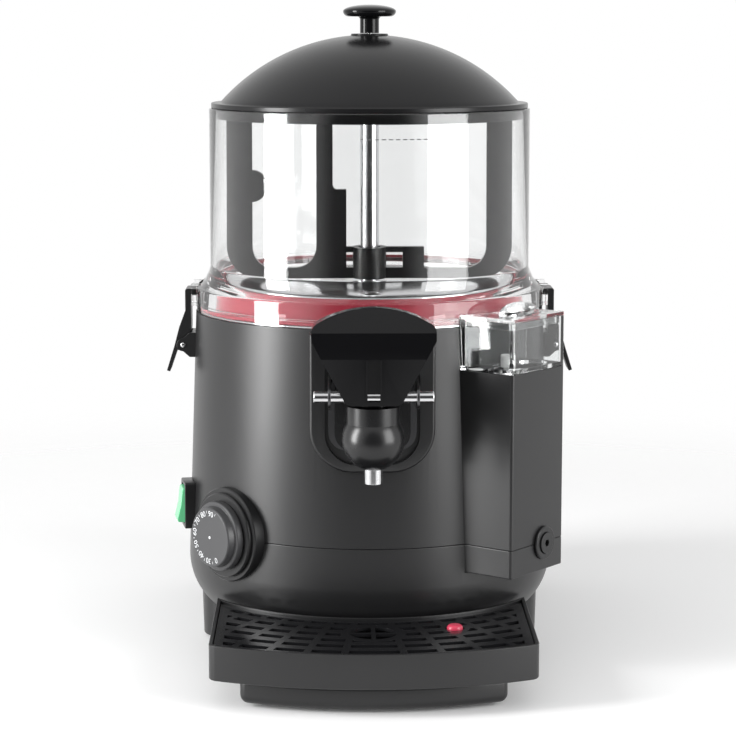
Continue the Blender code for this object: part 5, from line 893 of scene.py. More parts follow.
@dataclass
class Stand(Assembly):
    """Toe and rear column in one moulding, with the parts underneath and behind."""

    drum: Drum
    low_z: float = 0.0025
    toe_top: float = 0.0198
    toe_half_width: float = 0.0895
    toe_reach: float = 0.2180
    toe_bow: float = 0.0180
    toe_corner: float = 0.0060
    toe_upper_edge: float = 0.0040
    toe_lower_edge: float = 0.0060
    rear: float = 0.1780
    column_front: float = 0.0300
    column_top: float = 0.1960
    column_half_low: float = 0.1235
    column_half_high: float = 0.1290
    column_corner: float = 0.0260
    column_top_edge: float = 0.0080
    wall: float = 0.0030
    clearance: float = 0.0003
    pocket: Place = (0.0900, 0.0260, 0.1800)
    cover_lip: float = 0.0050
    cover_seat: float = 0.0055
    cover_face: float = 0.1750
    pocket_floor: float = 0.1385
    screw_radius: float = 0.0030
    screw_inset: float = 0.0030
    stem_share: float = 0.42
    tread_share: float = 0.93
    chamfer_share: float = 0.35

    def toe_line(self, margin: float) -> list[Point]:
        """Plan of the toe, drawn in by a margin."""
        half = self.toe_half_width - margin
        bow = (self.toe_half_width ** 2 + self.toe_bow ** 2) / (2 * self.toe_bow) - margin
        front = bowed(half, self.toe_reach - margin, bow, self.toe_corner)
        back = self.column_front - self.column_corner
        return [(-x, -y) for x, y in front] + [(half, -back), (-half, -back)]

    def column(self, margin: float, low: float, high: float) -> Solid:
        """The rear column, wider at its top, drawn in by a margin."""
        corners = oblong(
            -self.column_half_low + margin, self.column_half_low - margin, -self.column_front + margin,
            self.rear - margin,
        )
        made = Solid.slab(corners, low, high, self.column_corner - margin)
        spread = (self.column_half_high - self.column_half_low) / (self.column_top - self.low_z)
        for corner in made.mesh.verts:
            corner.co.x += math.copysign(spread * (corner.co.z - self.low_z), corner.co.x)
        return made

    def moulding(self) -> Solid:
        """The stand's one-piece moulding."""
        toe = Solid.slab(self.toe_line(0.0), self.low_z, self.toe_top)
        toe.rounded_at(self.toe_top, self.toe_upper_edge, 5)
        toe.rounded_at(self.low_z, self.toe_lower_edge, 6)
        column = self.column(0.0, self.low_z, self.column_top).rounded_at(
            self.column_top, self.column_top_edge, 6,
        )
        toe.add(column).cut(self.drum.body(self.clearance, self.drum.bottom_z, self.column_top + self.wall))
        hollow_top = self.toe_top - self.wall
        half, low, high = self.pocket
        seat = half + self.cover_lip
        behind = self.rear + self.wall
        return toe.cut(
            Solid.slab(self.toe_line(self.wall + self.toe_lower_edge), -self.wall, hollow_top),
            self.column(self.wall, -self.wall, hollow_top),
            Solid.block((-half, self.pocket_floor, low), (half, behind, high)),
            Solid.block(
                (-seat, self.rear - self.cover_seat, low - self.cover_lip),
                (seat, behind, high + self.cover_lip),
            ),
        )

    def cover_screws(self) -> Solid:
        """The four screws of the rear cover."""
        half, low, high = self.pocket
        inset = self.screw_inset
        places = [(x, z) for x in (-half, half) for z in (low + inset, high - inset)]
        back = Vector((0.0, 1.0, 0.0))
        heads = [self.screw((x, self.cover_face, z), back, self.screw_radius) for x, z in places]
        return heads[0].lay_in(*heads[1:])

    def foot(self, node: str) -> Solid:
        """A rubber foot with a rounded rim, at a frame node's place."""
        low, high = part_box(node)
        middle = (low + high) / 2 - AXIS
        outer = (high.x - low.x) / 2
        stem = outer * self.stem_share
        rest = self.low_z - self.clearance
        profile = [
            (0.0, 0.0), (outer * self.tread_share, 0.0), (outer, rest * self.chamfer_share), (outer, rest),
            (stem, rest), (stem, high.z), (0.0, high.z),
        ]
        return Solid.turned(profile, SMALL_STEPS).moved(Matrix.Translation((middle.x, middle.y, 0.0)))

    def build(self) -> None:
        """Make and dress the stand."""
        self.show(self.moulding(), "stand_moulding", HOUSING, "machine", "stand_housing", edge=0.0008)
        self.refine("base_plate", "underside_sheet", SHEET, "machine")
        self.refine("rear_cover", "vented_cover", HOUSING, "machine", 0.0005)
        self.refine("power_inlet", "inlet_socket", SATIN, "machine", 0.0003)
        self.show(self.cover_screws(), "cover_screws", TURNED, "machine", edge=0.0001)
        for side in ("front_left", "front_right", "rear_left", "rear_right"):
            self.show(
                self.foot("foot_" + side), "pad_" + side, RUBBER, "machine", "foot_" + side, edge=0.0003,
            )


@dataclass
class Filler(Assembly):
    """The clear filler box on the water column, its lid and the level float."""

    drum: Drum
    low_z: float = 0.2148
    top_z: float = 0.2500
    wall: float = 0.0025
    bowl_side: float = 0.1276
    housing_gap: float = 0.0008
    clearance: float = 0.0003
    plate: float = 0.0024
    rim_depth: float = 0.0050
    rim_gap: float = 0.0006
    grip_radius: float = 0.0190
    grip_height: float = 0.0085
    grip_flatten: float = 0.62
    float_radius: float = 0.0085
    float_height: float = 0.0160
    float_stem: float = 0.0022
    float_top: float = 0.2260
    float_tip: float = 0.0042
    float_tip_height: float = 0.0090
    float_offset: float = 0.0140

    def wall_rod(self, radius: float, low: float, high: float) -> Solid:
        """A cylinder on the bowl's axis, to cut the curved back wall."""
        return Solid.pillar(radius, low, high, steps=FINE_STEPS)

    def box(self) -> Solid:
        """The open clear box."""
        over = self.top_z + self.wall * 2
        box = self.drum.column(0.0, self.low_z, self.top_z)
        box.cut(self.drum.body(self.housing_gap, self.low_z - self.wall, self.drum.top_z - self.clearance))
        box.cut(self.wall_rod(self.bowl_side, self.low_z, over))
        hollow = self.drum.column(self.wall, self.low_z + self.wall, over)
        hollow.cut(self.wall_rod(self.bowl_side + self.wall, self.low_z, over + self.wall))
        return box.cut(hollow, self.drum.well(0.0, self.low_z - self.wall, self.low_z + self.wall * 2))

    def lid(self) -> Solid:
        """The lift-off lid with its rim and domed grip."""
        low = self.top_z + self.clearance
        over = low + self.plate + self.wall
        lid = self.drum.column(0.0, low, low + self.plate).cut(
            self.wall_rod(self.bowl_side, self.low_z, over),
        )
        rim = self.drum.column(self.wall + self.rim_gap, self.top_z - self.rim_depth, low + self.plate / 2)
        back = self.bowl_side + self.wall + self.rim_gap
        rim.cut(self.wall_rod(back, self.low_z, over))
        hollow = self.drum.column(self.wall * 2 + self.rim_gap, self.top_z - self.rim_depth * 2, low)
        hollow.cut(self.wall_rod(back + self.wall, self.low_z - self.wall, over))
        dome = [(0.0, low + self.plate / 2), (self.grip_radius, low + self.plate / 2)]
        dome += [
            (self.grip_radius * across, low + self.plate + self.grip_height * up)
            for across, up in arc((0.0, 0.0), 1.0, math.pi / 12, RIGHT, 14)[:-1]
        ]
        dome.append((0.0, low + self.plate + self.grip_height))
        place = facing(self.drum.column_angle) @ Matrix.Translation(self.drum.well_middle())
        grip = Solid.turned(dome, ROUND_STEPS).moved(
            place @ Matrix.Diagonal((self.grip_flatten, 1.0, 1.0, 1.0)),
        )
        return lid.add(rim.cut(hollow), grip)

    def level_float(self) -> Solid:
        """The float on its stem, with the tip that shows through the box."""
        rest = self.drum.well_low + self.clearance
        neck = self.float_top - self.float_tip_height
        shoulder = rest + self.float_height
        profile = [
            (0.0, rest), (self.float_radius, rest), (self.float_radius, shoulder),
            (self.float_stem, shoulder),
            (self.float_stem, neck), (self.float_tip, neck), (self.float_tip, self.float_top),
            (0.0, self.float_top),
        ]
        place = self.drum.well_middle() + Vector((0.0, -self.float_offset, 0.0))
        return Solid.turned(profile, SMALL_STEPS).moved(
            facing(self.drum.column_angle) @ Matrix.Translation(place),
        )

    def build(self) -> None:
        """Make and dress the filler."""
        self.show(self.box(), "filler_box", CLEAR_BOX, "machine", "water_box", edge=0.0006, steps=3)
        self.show(self.lid(), "filler_lid_grip", CLEAR_BOX, "filler_lid", "water_box_lid", edge=0.0005)
        self.show(self.level_float(), "level_float_stem", WHITE, "level_float", "water_float", edge=0.0006)


@dataclass
class Drain(Assembly):
    """The drain's bush and its screwed plug on the water column."""

    drum: Drum
    height: float = 0.0920
    side: float = -0.0121
    bush_radius: float = 0.0090
    flange_radius: float = 0.0118
    flange: float = 0.0022
    depth: float = 0.0110
    plug_radius: float = 0.0062
    head_radius: float = 0.0074
    head: float = 0.0016
    key_radius: float = 0.0026
    key_depth: float = 0.0040
    clearance: float = 0.0003

    def build(self) -> None:
        """Make and dress the bush and the plug."""
        face = self.drum.column_face + self.clearance
        top = face + self.flange
        edge = self.flange / 3
        seat = top - self.head / 2
        bore = self.plug_radius + self.clearance
        back = self.drum.column_face - self.depth
        room = self.head_radius + self.clearance
        bush = Solid.turned([
            (bore, back), (self.bush_radius, back), (self.bush_radius, face), (self.flange_radius, face),
            (self.flange_radius, top - edge), (self.flange_radius - edge, top), (room, top), (room, seat),
            (bore, seat),
        ])
        low = seat + self.clearance
        head_top = low + self.head
        plug = Solid.turned([
            (0.0, back), (self.plug_radius, back), (self.plug_radius, low), (self.head_radius, low),
            (self.head_radius, head_top), (0.0, head_top),
        ])
        plug.cut(Solid.pillar(self.key_radius, head_top - self.key_depth, head_top + self.head, steps=6))
        lay = Matrix.Translation((0.0, self.side, self.height)) @ Matrix.Rotation(RIGHT, 4, "Y")
        place = facing(self.drum.column_angle) @ lay
        self.show(bush.moved(place), "drain_ring", SATIN, "machine", "drain_bush", edge=0.0003)
        self.show(plug.moved(place), "drain_screw_head", SATIN, "drain_screw", "drain_plug", edge=0.0003)


@dataclass
class ClearBowl(Assembly):
    """The clear bowl on its red seal and raised steel floor."""

    top_z: float = 0.3909964
    radius: float = 0.1164
    bore: float = 0.1134
    flare_z: float = 0.2765
    flare_radius: float = 0.1193
    step_z: float = 0.2685
    collar_radius: float = 0.1268
    collar_top: float = 0.2625
    skirt_radius: float = 0.1246
    rim: float = 0.0008
    seat: float = 0.2490
    low_z: float = 0.2446
    lug_reach: float = 0.1300
    lug_half_width: float = 0.0150
    lug_low: float = 0.2480
    lug_high: float = 0.2640
    lug_ledge: float = 0.2553
    channel_half_width: float = 0.0116
    channel_reach: float = 0.1215
    floor_top: float = 0.2612
    floor_sheet: float = 0.0012
    floor_bend: float = 0.0035
    floor_wall: float = 0.1108
    floor_flange: float = 0.1240
    floor_low: float = 0.2443
    tube_hole: float = 0.0073
    outlet_y: float = -0.0955
    outlet_radius: float = 0.0072
    seal_lip: float = 0.1129
    seal_drop: float = 0.0006
    clearance: float = 0.0003
    level_z: float = 0.3732
    dash_share: float = 0.62
    dash_proud: float = 0.00012
    dash_sunk: float = 0.0001
    dash_height: float = 0.0007
    level_turns: tuple[float, float, int] = (math.radians(-4), math.radians(20), 10)

    def bowl(self) -> Solid:
        """The bowl with its collar and latch lugs."""
        rim = self.rim
        middle = (self.flare_radius + self.collar_radius) / 2
        bowl = Solid.turned([
            *arc((self.radius - rim, self.top_z - rim), rim, RIGHT, 0.0, 3),
            (self.radius, self.top_z - 4 * rim),
            (self.radius, self.flare_z + rim), (self.radius + rim / 8, self.flare_z - rim),
            (self.flare_radius - rim / 4, self.step_z + rim),
            (self.flare_radius + rim / 2, self.step_z - rim),
            (middle, (self.step_z + 2 * self.collar_top) / 3),
            *arc((self.collar_radius - 2 * rim, self.collar_top - 2 * rim), 2 * rim, RIGHT, 0.0, 4),
            (self.collar_radius, self.low_z), (self.skirt_radius, self.low_z), (self.skirt_radius, self.seat),
            (self.bore, self.seat), (self.bore, self.top_z),
        ], FINE_STEPS)
        for side in (-1, 1):
            ends = sorted((side * self.lug_reach, side * (self.flare_radius - rim)))
            lug = Solid.block(
                (ends[0], -self.lug_half_width, self.lug_low), (ends[1], self.lug_half_width, self.lug_high),
            )
            far = sorted(
                (side * self.channel_reach, side * (self.lug_reach + self.channel_reach - self.radius)),
            )
            sizes = (
                (far[0], -self.channel_half_width, self.lug_ledge),
                (far[1], self.channel_half_width, self.lug_high + rim * 4),
            )
            lug.cut(
                Solid.block(*sizes),
                Solid.pillar(self.skirt_radius, self.lug_low - rim, self.seat, steps=FINE_STEPS),
            )
            bowl.cut(Solid.block(*sizes)).add(lug)
        return bowl

    def floor(self) -> Solid:
        """The raised floor of drawn steel, with the outlet and the shaft's hole."""
        edge = self.floor_low + self.floor_sheet
        wall = self.floor_wall
        bend = self.floor_bend
        floor = Solid.turned([
            (self.floor_flange, self.floor_low), (self.floor_flange, edge), (wall, edge),
            *arc((wall - bend, self.floor_top - bend), bend, 0.0, RIGHT, 6),
            (self.tube_hole, self.floor_top), (self.tube_hole, self.floor_top - self.floor_sheet),
            (wall - bend, self.floor_top - self.floor_sheet),
            (wall - self.floor_sheet, self.floor_top - bend),
            (wall - self.floor_sheet, self.floor_low),
        ], FINE_STEPS)
        hole = Solid.pillar(
            self.outlet_radius, self.floor_top - bend, self.floor_top + bend, (0.0, self.outlet_y),
        )
        return floor.cut(hole)

    def seal(self) -> Solid:
        """The soft red seal between the floor and the bowl."""
        low = self.floor_low + self.floor_sheet + self.clearance
        foot = self.seat - self.clearance
        inner = self.floor_wall + self.clearance
        lip = self.floor_top - self.seal_drop
        round_lip = (self.seal_lip - inner) / 2
        return Solid.turned([
            (self.floor_flange - self.clearance, low), (self.floor_flange - self.clearance, foot),
            (self.seal_lip, foot),
            *arc((self.seal_lip - round_lip, lip - round_lip), round_lip, 0.0, math.pi, 8), (inner, low),
        ], FINE_STEPS)

    def level_mark(self) -> Solid:
        """The dashed line of the highest filling, moulded on the bowl's front."""
        start, end, count = self.level_turns
        pitch = (end - start) / count
        marks = []
        for index in range(count):
            first = start + index * pitch - RIGHT
            last = first + pitch * self.dash_share
            outer = arc((0.0, 0.0), self.radius + self.dash_proud, first, last, 4)
            inner = arc((0.0, 0.0), self.radius - self.dash_sunk, last, first, 4)
            marks.append(Solid.slab(outer + inner, self.level_z, self.level_z + self.dash_height))
        return marks[0].lay_in(*marks[1:])

    def build(self) -> None:
        """Make and dress the bowl, its floor and its seal."""
        self.show(self.floor(), "raised_floor", FLOOR_STEEL, "machine", "bowl_floor", edge=0.0003)
        self.show(self.seal(), "floor_seal", SEAL, "machine", "bowl_seal", edge=0.0004)
        self.show(self.bowl(), "clear_bowl", CLEAR, "machine", "bowl", edge=0.0004)
        self.show(self.level_mark(), "level_dashes", LEVEL_GREY, "machine", edge=0.0)


@dataclass
class SideLatches(Assembly):
    """The sprung latches that hold the bowl, and their screwed brackets."""

    pivot_x: float = 0.1365
    pivot_z: float = 0.2190
    half_width: float = 0.0110
    ear_reach: float = 0.0025
    screw_radius: float = 0.0019

    def build(self) -> None:
        """Dress both sides."""
        for side, name in ((-1, "left"), (1, "right")):
            self.refine("latch_" + name, "clip_" + name, SATIN, name + "_latch", 0.0008)
            self.refine("latch_bracket_" + name, "clip_seat_" + name, SATIN, "machine", 0.0003)
            reach = self.half_width + self.ear_reach
            heads = [
                self.screw(
                    (side * self.pivot_x, end * reach, self.pivot_z), Vector((0.0, float(end), 0.0)),
                    self.screw_radius,
                )
                for end in (-1, 1)
            ]
            self.show(heads[0].lay_in(heads[1]), "clip_pins_" + name, TURNED, "machine", edge=0.0)


@dataclass
class Drive(Assembly):
    """The shaft in its fixed tube, with the cap that ends it."""

    floor_top: float = 0.2612
    shaft_radius: float = 0.0040
    shaft_top: float = 0.3964964
    tube_radius: float = 0.0070
    tube_bore: float = 0.0048
    tube_top: float = 0.3859964
    tube_sunk: float = 0.0040
    flange_radius: float = 0.0130
    flange: float = 0.0018
    cap_radius: float = 0.0142
    cap: float = 0.0042
    clearance: float = 0.0003

    def build(self) -> None:
        """Make and dress the turned parts."""
        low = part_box("drive_shaft")[0].z
        shaft = Solid.pillar(self.shaft_radius, low, self.shaft_top)
        self.show(shaft, "ground_shaft", TURNED, "stirring_unit", "drive_shaft", edge=0.0003)
        seat = self.floor_top + self.clearance
        tube = Solid.turned([
            (self.tube_bore, self.floor_top - self.tube_sunk),
            (self.tube_radius, self.floor_top - self.tube_sunk), (self.tube_radius, seat),
            (self.flange_radius, seat), (self.flange_radius, seat + self.flange),
            (self.tube_radius, seat + self.flange),
            (self.tube_radius, self.tube_top), (self.tube_bore, self.tube_top),
        ])
        self.show(tube, "bowl_tube", TURNED, "machine", "centre_tube", edge=0.0004)
        low = self.tube_top + self.clearance
        third = self.cap / 3
        bore = self.shaft_radius + self.clearance
        cap = Solid.turned([
            (bore, low), *arc((self.cap_radius - third, low + third), third, -RIGHT, 0.0, 5),
            *arc((self.cap_radius - third, low + 2 * third), third, 0.0, RIGHT, 5), (bore, low + self.cap),
        ])
        self.show(cap, "tube_cap", TURNED, "stirring_unit", "shaft_cap", edge=0.0003)


@dataclass
class Stirrer(Assembly):
    """The flat moulded frame that hangs on the shaft."""

    radius: float = 0.1050
    half_thickness: float = 0.0028
    low_z: float = 0.2650
    top_z: float = 0.3964964
    blade: float = 0.0190
    bar: float = 0.0075
    foot_radius: float = 0.0240
    window_radius: float = 0.0150
    paddle_outer: float = 0.0390
    paddle_inner: float = 0.0170
    paddle_step: float = 0.0100
    step_z: float = 0.3270
    bump_radius: float = 0.0110
    bump_z: float = 0.3300
    hub_radius: float = 0.0120
    hub_top: float = 0.4014964
    hub_depth: float = 0.0150
    hub_bore: float = 0.0043
    tube_side: float = 0.0082
    ring_wall: float = 0.0040
    block_reach: float = 0.0400
    block_top: float = 0.2870
    flange_room: float = 0.0142
    flange_top: float = 0.2645
    cap_room: float = 0.0154
    cap_top: float = 0.3904964
    clearance: float = 0.0003

    def window(self, low_x: float, high_x: float, low_z: float, high_z: float, radius: float) -> Solid:
        """A cutter with round corners, through the frame's thickness."""
        deep = self.half_thickness * 2
        return Solid.upright(oblong(low_x, high_x, low_z, high_z), -deep, deep, radius)

    def shape(self) -> Solid:
        """The whole frame."""
        thick = self.half_thickness
        low, high, bar = self.low_z, self.top_z, self.bar
        outer = self.radius
        foot = self.foot_radius
        corner = foot / 4
        outline = [
            *arc((outer - foot, low + foot), foot, -RIGHT, 0.0, 16),
            *arc((outer - corner, high - corner), corner, 0.0, RIGHT, 8),
            *arc((corner - outer, high - corner), corner, RIGHT, math.pi, 8),
            *arc((foot - outer, low + foot), foot, math.pi, 3 * RIGHT, 16),
        ]
        body = Solid.upright(outline, -thick, thick)
        blade = outer - self.blade
        left = self.window(-blade, -self.paddle_outer, low + bar, high - bar, self.window_radius)
        bump = Solid.rod(self.bump_radius, (-blade, -outer, self.bump_z), (-blade, outer, self.bump_z), 48)
        inner = self.window(-self.paddle_inner, blade, low + bar, high - bar, self.window_radius)
        upper = self.window(
            -self.paddle_inner - self.paddle_step, 0.0, self.step_z, high - bar, self.paddle_step / 3,
        )
        body.cut(left.cut(bump), inner.add(upper))
        ring = self.tube_side + self.ring_wall
        body.add(
            Solid.block(
                (-self.paddle_inner - self.clearance, -thick, low), (self.block_reach, thick, self.block_top),
            ),
            Solid.pillar(ring, low, self.block_top, steps=64),
        )
        light_low = low + bar
        light_high = self.block_top - bar / 2
        below = low - bar
        hub_low = high - self.hub_depth
        body.cut(
            Solid.pillar(self.tube_side, below, self.block_top + bar, steps=64),
            Solid.block((ring, -thick * 2, light_low), (ring * 2, thick * 2, light_high)),
            Solid.block((-self.paddle_inner, -thick * 2, light_low), (-ring, thick * 2, light_high)),
            Solid.pillar(self.flange_room, below, self.flange_top, steps=64),
            Solid.pillar(self.cap_room, hub_low, self.cap_top + self.clearance, steps=64),
        )
        body.add(Solid.pillar(self.hub_radius, self.cap_top + self.clearance, self.hub_top, steps=64))
        return body.cut(Solid.pillar(self.hub_bore, hub_low, self.top_z + self.clearance))

    def build(self) -> None:
        """Make and dress the stirrer."""
        self.show(self.shape(), "stirrer_frame", SATIN, "stirring_unit", "stirrer", edge=0.0006)


@dataclass
class Lid(Assembly):
    """The domed lid with its mushroom knob and the screw under it."""

    bowl_top: float = 0.3909964
    clearance: float = 0.0003
    sphere: float = 0.1455
    dome_radius: float = 0.1070
    dome_top: float = 0.4435
    flange_radius: float = 0.1149
    flange: float = 0.0036
    skirt_radius: float = 0.1127
    skirt_depth: float = 0.0080
    wall: float = 0.0024
    seat_radius: float = 0.0135
    seat_height: float = 0.0014
    rim_edge: float = 0.0009
    top_z: float = 0.4650
    stem_radius: float = 0.0069
    cap_radius: float = 0.0192
    cap_under: float = 0.0150
    cap_height: float = 0.0086
    cap_edge: float = 0.45
    neck_fillet: float = 0.0022
    hole: float = 0.0023
    hole_depth: float = 0.0120

    def seat_z(self) -> float:
        """Height of the flat that the knob stands on."""
        turn = math.asin(self.seat_radius / self.sphere)
        return self.dome_top - self.sphere + self.sphere * math.cos(turn) + self.seat_height

    def dome(self) -> Solid:
        """The lid's shell."""
        low = self.bowl_top + self.clearance
        top = low + self.flange
        centre = self.dome_top - self.sphere
        start = math.asin(self.seat_radius / self.sphere)
        end = math.asin(self.dome_radius / self.sphere)
        outside = arc((0.0, centre), self.sphere, RIGHT - start, RIGHT - end, 40)
        inside = arc((0.0, centre), self.sphere - self.wall, RIGHT - start, RIGHT - end, 40)
        seat = self.seat_z()
        round_edge = self.rim_edge
        profile = [
            (self.hole, seat),
            *arc((self.seat_radius - round_edge, seat - round_edge), round_edge, RIGHT, 0.0, 4), *outside,
        ]
        profile += [
            (self.dome_radius + self.wall / 2, top),
            *arc((self.flange_radius - round_edge, top - round_edge), round_edge, RIGHT, 0.0, 4),
            (self.flange_radius, low), (self.skirt_radius, low), (self.skirt_radius, low - self.skirt_depth),
            (self.skirt_radius - self.wall, low - self.skirt_depth), (self.skirt_radius - self.wall, low),
        ]
        profile += [point for point in reversed(inside) if point[1] > low + self.wall / 2]
        profile.append((self.hole, profile[-1][1]))
        return Solid.turned(profile, FINE_STEPS)

    def knob(self) -> Solid:
        """The mushroom knob on its stem."""
        low = self.seat_z() + self.clearance
        cap_low = self.top_z - self.cap_height
        edge = cap_low + self.cap_height * self.cap_edge
        crown = [
            (self.cap_radius * across, edge + (self.top_z - edge) * up)
            for across, up in arc((0.0, 0.0), 1.0, 0.0, RIGHT, 18)
        ]
        crown[-1] = (0.0, self.top_z)
        under = [
            (self.cap_under + (self.cap_radius - self.cap_under) * across, edge - (edge - cap_low) * up)
            for across, up in arc((0.0, 0.0), 1.0, RIGHT, 0.0, 8)
        ]
        fillet = self.neck_fillet
        neck = arc((self.stem_radius + fillet, cap_low - fillet), fillet, math.pi, RIGHT, 6)
        knob = Solid.turned([(0.0, low), (self.stem_radius, low), *neck, *under[:-1], *crown])
        return knob.cut(Solid.pillar(self.hole, low - self.wall, low + self.hole_depth))

    def build(self) -> None:
        """Make and dress the lid."""
        self.show(self.dome(), "lid_dome", LID_BLACK, "lid_unit", "lid", edge=0.0004)
        self.show(self.knob(), "lid_ball", GLOSS, "lid_unit", "lid_knob", edge=0.0003)
        self.refine("knob_screw", "lid_screw", TURNED, "lid_unit", 0.0002)


@dataclass
class Tap(Assembly):
    """The tap: body, bracket, pivot pin, nozzle and gland."""

    y: float = -0.1680
    barrel_z: float = 0.1860
    barrel_radius: float = 0.0125
    barrel_bore: float = 0.0065
    sheet_hole: float = 0.0083
    bulb_radius: float = 0.0212
    bulb_z: float = 0.1760
    floor_z: float = 0.1556
    floor: float = 0.0030
    neck_radius: float = 0.0180
    neck_top: float = 0.1990
    bore: float = 0.0090
    sheet_back: float = -0.1313
    sheet: float = 0.0018
    flange: float = 0.0040
    flange_half_width: float = 0.0260
    flange_low: float = 0.1620
    arm_inner: float = 0.0285
    arm_low: float = 0.1980
    pivot_y: float = -0.1860
    pivot_z: float = 0.2075
    arm_end: float = 0.0075
    pin_radius: float = 0.0040
    pin_half_length: float = 0.0400
    nozzle_radius: float = 0.0060
    nozzle_bore: float = 0.0042
    nozzle_low: float = 0.1455
    nozzle_flange: float = 0.0017
    nozzle_flange_radius: float = 0.0087
    nozzle_edge: float = 0.0005
    gland_radius: float = 0.0125
    gland: float = 0.0018
    gland_depth: float = 0.0045
    plunger_room: float = 0.0028
    clearance: float = 0.0003

    def body(self) -> Solid:
        """The round body with its barrel and flange."""
        low = -math.asin((self.bulb_z - self.floor_z) / self.bulb_radius)
        high = math.acos(self.neck_radius / self.bulb_radius)
        side = arc((0.0, self.bulb_z), self.bulb_radius, low, high, 30)
        body = Solid.turned(
            [(0.0, self.floor_z), *side, (self.neck_radius, self.neck_top), (0.0, self.neck_top)],
        )
        body.moved(Matrix.Translation((0.0, self.y, 0.0)))
        back = self.sheet_back - self.sheet - self.clearance
        face = back - self.flange
        top = self.pivot_z + self.arm_end
        half = self.flange_half_width
        plate = Solid.upright(oblong(-half, half, self.flange_low, top), face, back, half / 2)
        sunk = face + self.clearance
        body.add(
            Solid.rod(self.barrel_radius, (0.0, sunk, self.barrel_z), (0.0, self.y, self.barrel_z), 60),
            plate,
        )
        floor_top = self.floor_z + self.floor
        return body.cut(
            Solid.pillar(self.bore, floor_top, self.neck_top + self.floor, (0.0, self.y), steps=64),
            Solid.rod(
                self.barrel_bore, (0.0, back + self.floor, self.barrel_z), (0.0, self.y, self.barrel_z),
            ),
            Solid.pillar(
                self.nozzle_radius + self.clearance, self.floor_z - self.floor, floor_top + self.floor,
                (0.0, self.y),
            ),
        )

    def bracket(self) -> Solid:
        """The steel bracket: a back sheet and two arms that carry the pin."""
        back = self.sheet_back
        top = self.pivot_z + self.arm_end
        outer = self.arm_inner + self.sheet
        bracket = Solid.upright(
            oblong(-outer, outer, self.flange_low, top), back - self.sheet, back, self.flange_half_width / 2,
        )
        line = [
            (back, top), *arc((self.pivot_y, self.pivot_z), self.arm_end, RIGHT, 3 * RIGHT, 24),
            (self.pivot_y + self.arm_end, self.arm_low), (back, self.arm_low),
        ]
        for near, far in ((-outer, -self.arm_inner), (self.arm_inner, outer)):
            bracket.add(Solid.sideways(line, near, far))
        reach = outer + self.arm_end
        return bracket.cut(
            Solid.rod(
                self.sheet_hole, (0.0, back - self.arm_end, self.barrel_z),
                (0.0, back + self.arm_end, self.barrel_z),
            ),
            Solid.rod(
                self.pin_radius + self.clearance, (-reach, self.pivot_y, self.pivot_z),
                (reach, self.pivot_y, self.pivot_z),
            ),
        )

    def nozzle(self) -> Solid:
        """The steel nozzle with its trapped flange."""
        low = self.floor_z + self.floor + self.clearance
        top = low + self.nozzle_flange
        lip = self.nozzle_edge
        flange = self.nozzle_flange_radius
        nozzle = Solid.turned([
            (self.nozzle_bore, self.nozzle_low + lip), (self.nozzle_bore + lip, self.nozzle_low),
            (self.nozzle_radius - lip, self.nozzle_low),
            (self.nozzle_radius, self.nozzle_low + lip), (self.nozzle_radius, low), (flange, low),
            (flange, top), (self.nozzle_bore, top),
        ])
        return nozzle.moved(Matrix.Translation((0.0, self.y, 0.0)))

    def gland_nut(self) -> Solid:
        """The gland that closes the neck round the plunger."""
        low = self.neck_top + self.clearance
        plug = self.bore - self.clearance
        bottom = self.neck_top - self.gland_depth
        gland = Solid.turned([
            (self.plunger_room, bottom), (plug, bottom), (plug, low), (self.gland_radius, low),
            (self.gland_radius, low + self.gland), (self.plunger_room, low + self.gland),
        ])
        return gland.moved(Matrix.Translation((0.0, self.y, 0.0)))

    def build(self) -> None:
        """Make and dress the tap."""
        half = self.pin_half_length
        pin = Solid.rod(
            self.pin_radius, (-half, self.pivot_y, self.pivot_z), (half, self.pivot_y, self.pivot_z), 48,
        )
        self.show(self.body(), "tap_bulb", BULB, "machine", "tap_body", edge=0.0006, steps=3)
        self.show(self.bracket(), "tap_sheet", DARK_SHEET, "machine", "tap_bracket", edge=0.0004)
        self.show(pin, "pivot_pin", TURNED, "machine", "tap_pin", edge=0.0008, steps=3)
        self.show(self.nozzle(), "steel_nozzle", TURNED, "machine", "nozzle", edge=0.0002)
        self.show(self.gland_nut(), "gland_nut", GLOSS, "machine", "tap_gland", edge=0.0004)
        self.refine("tap_plunger", "lift_rod", TURNED, "plunger_unit", 0.0003)


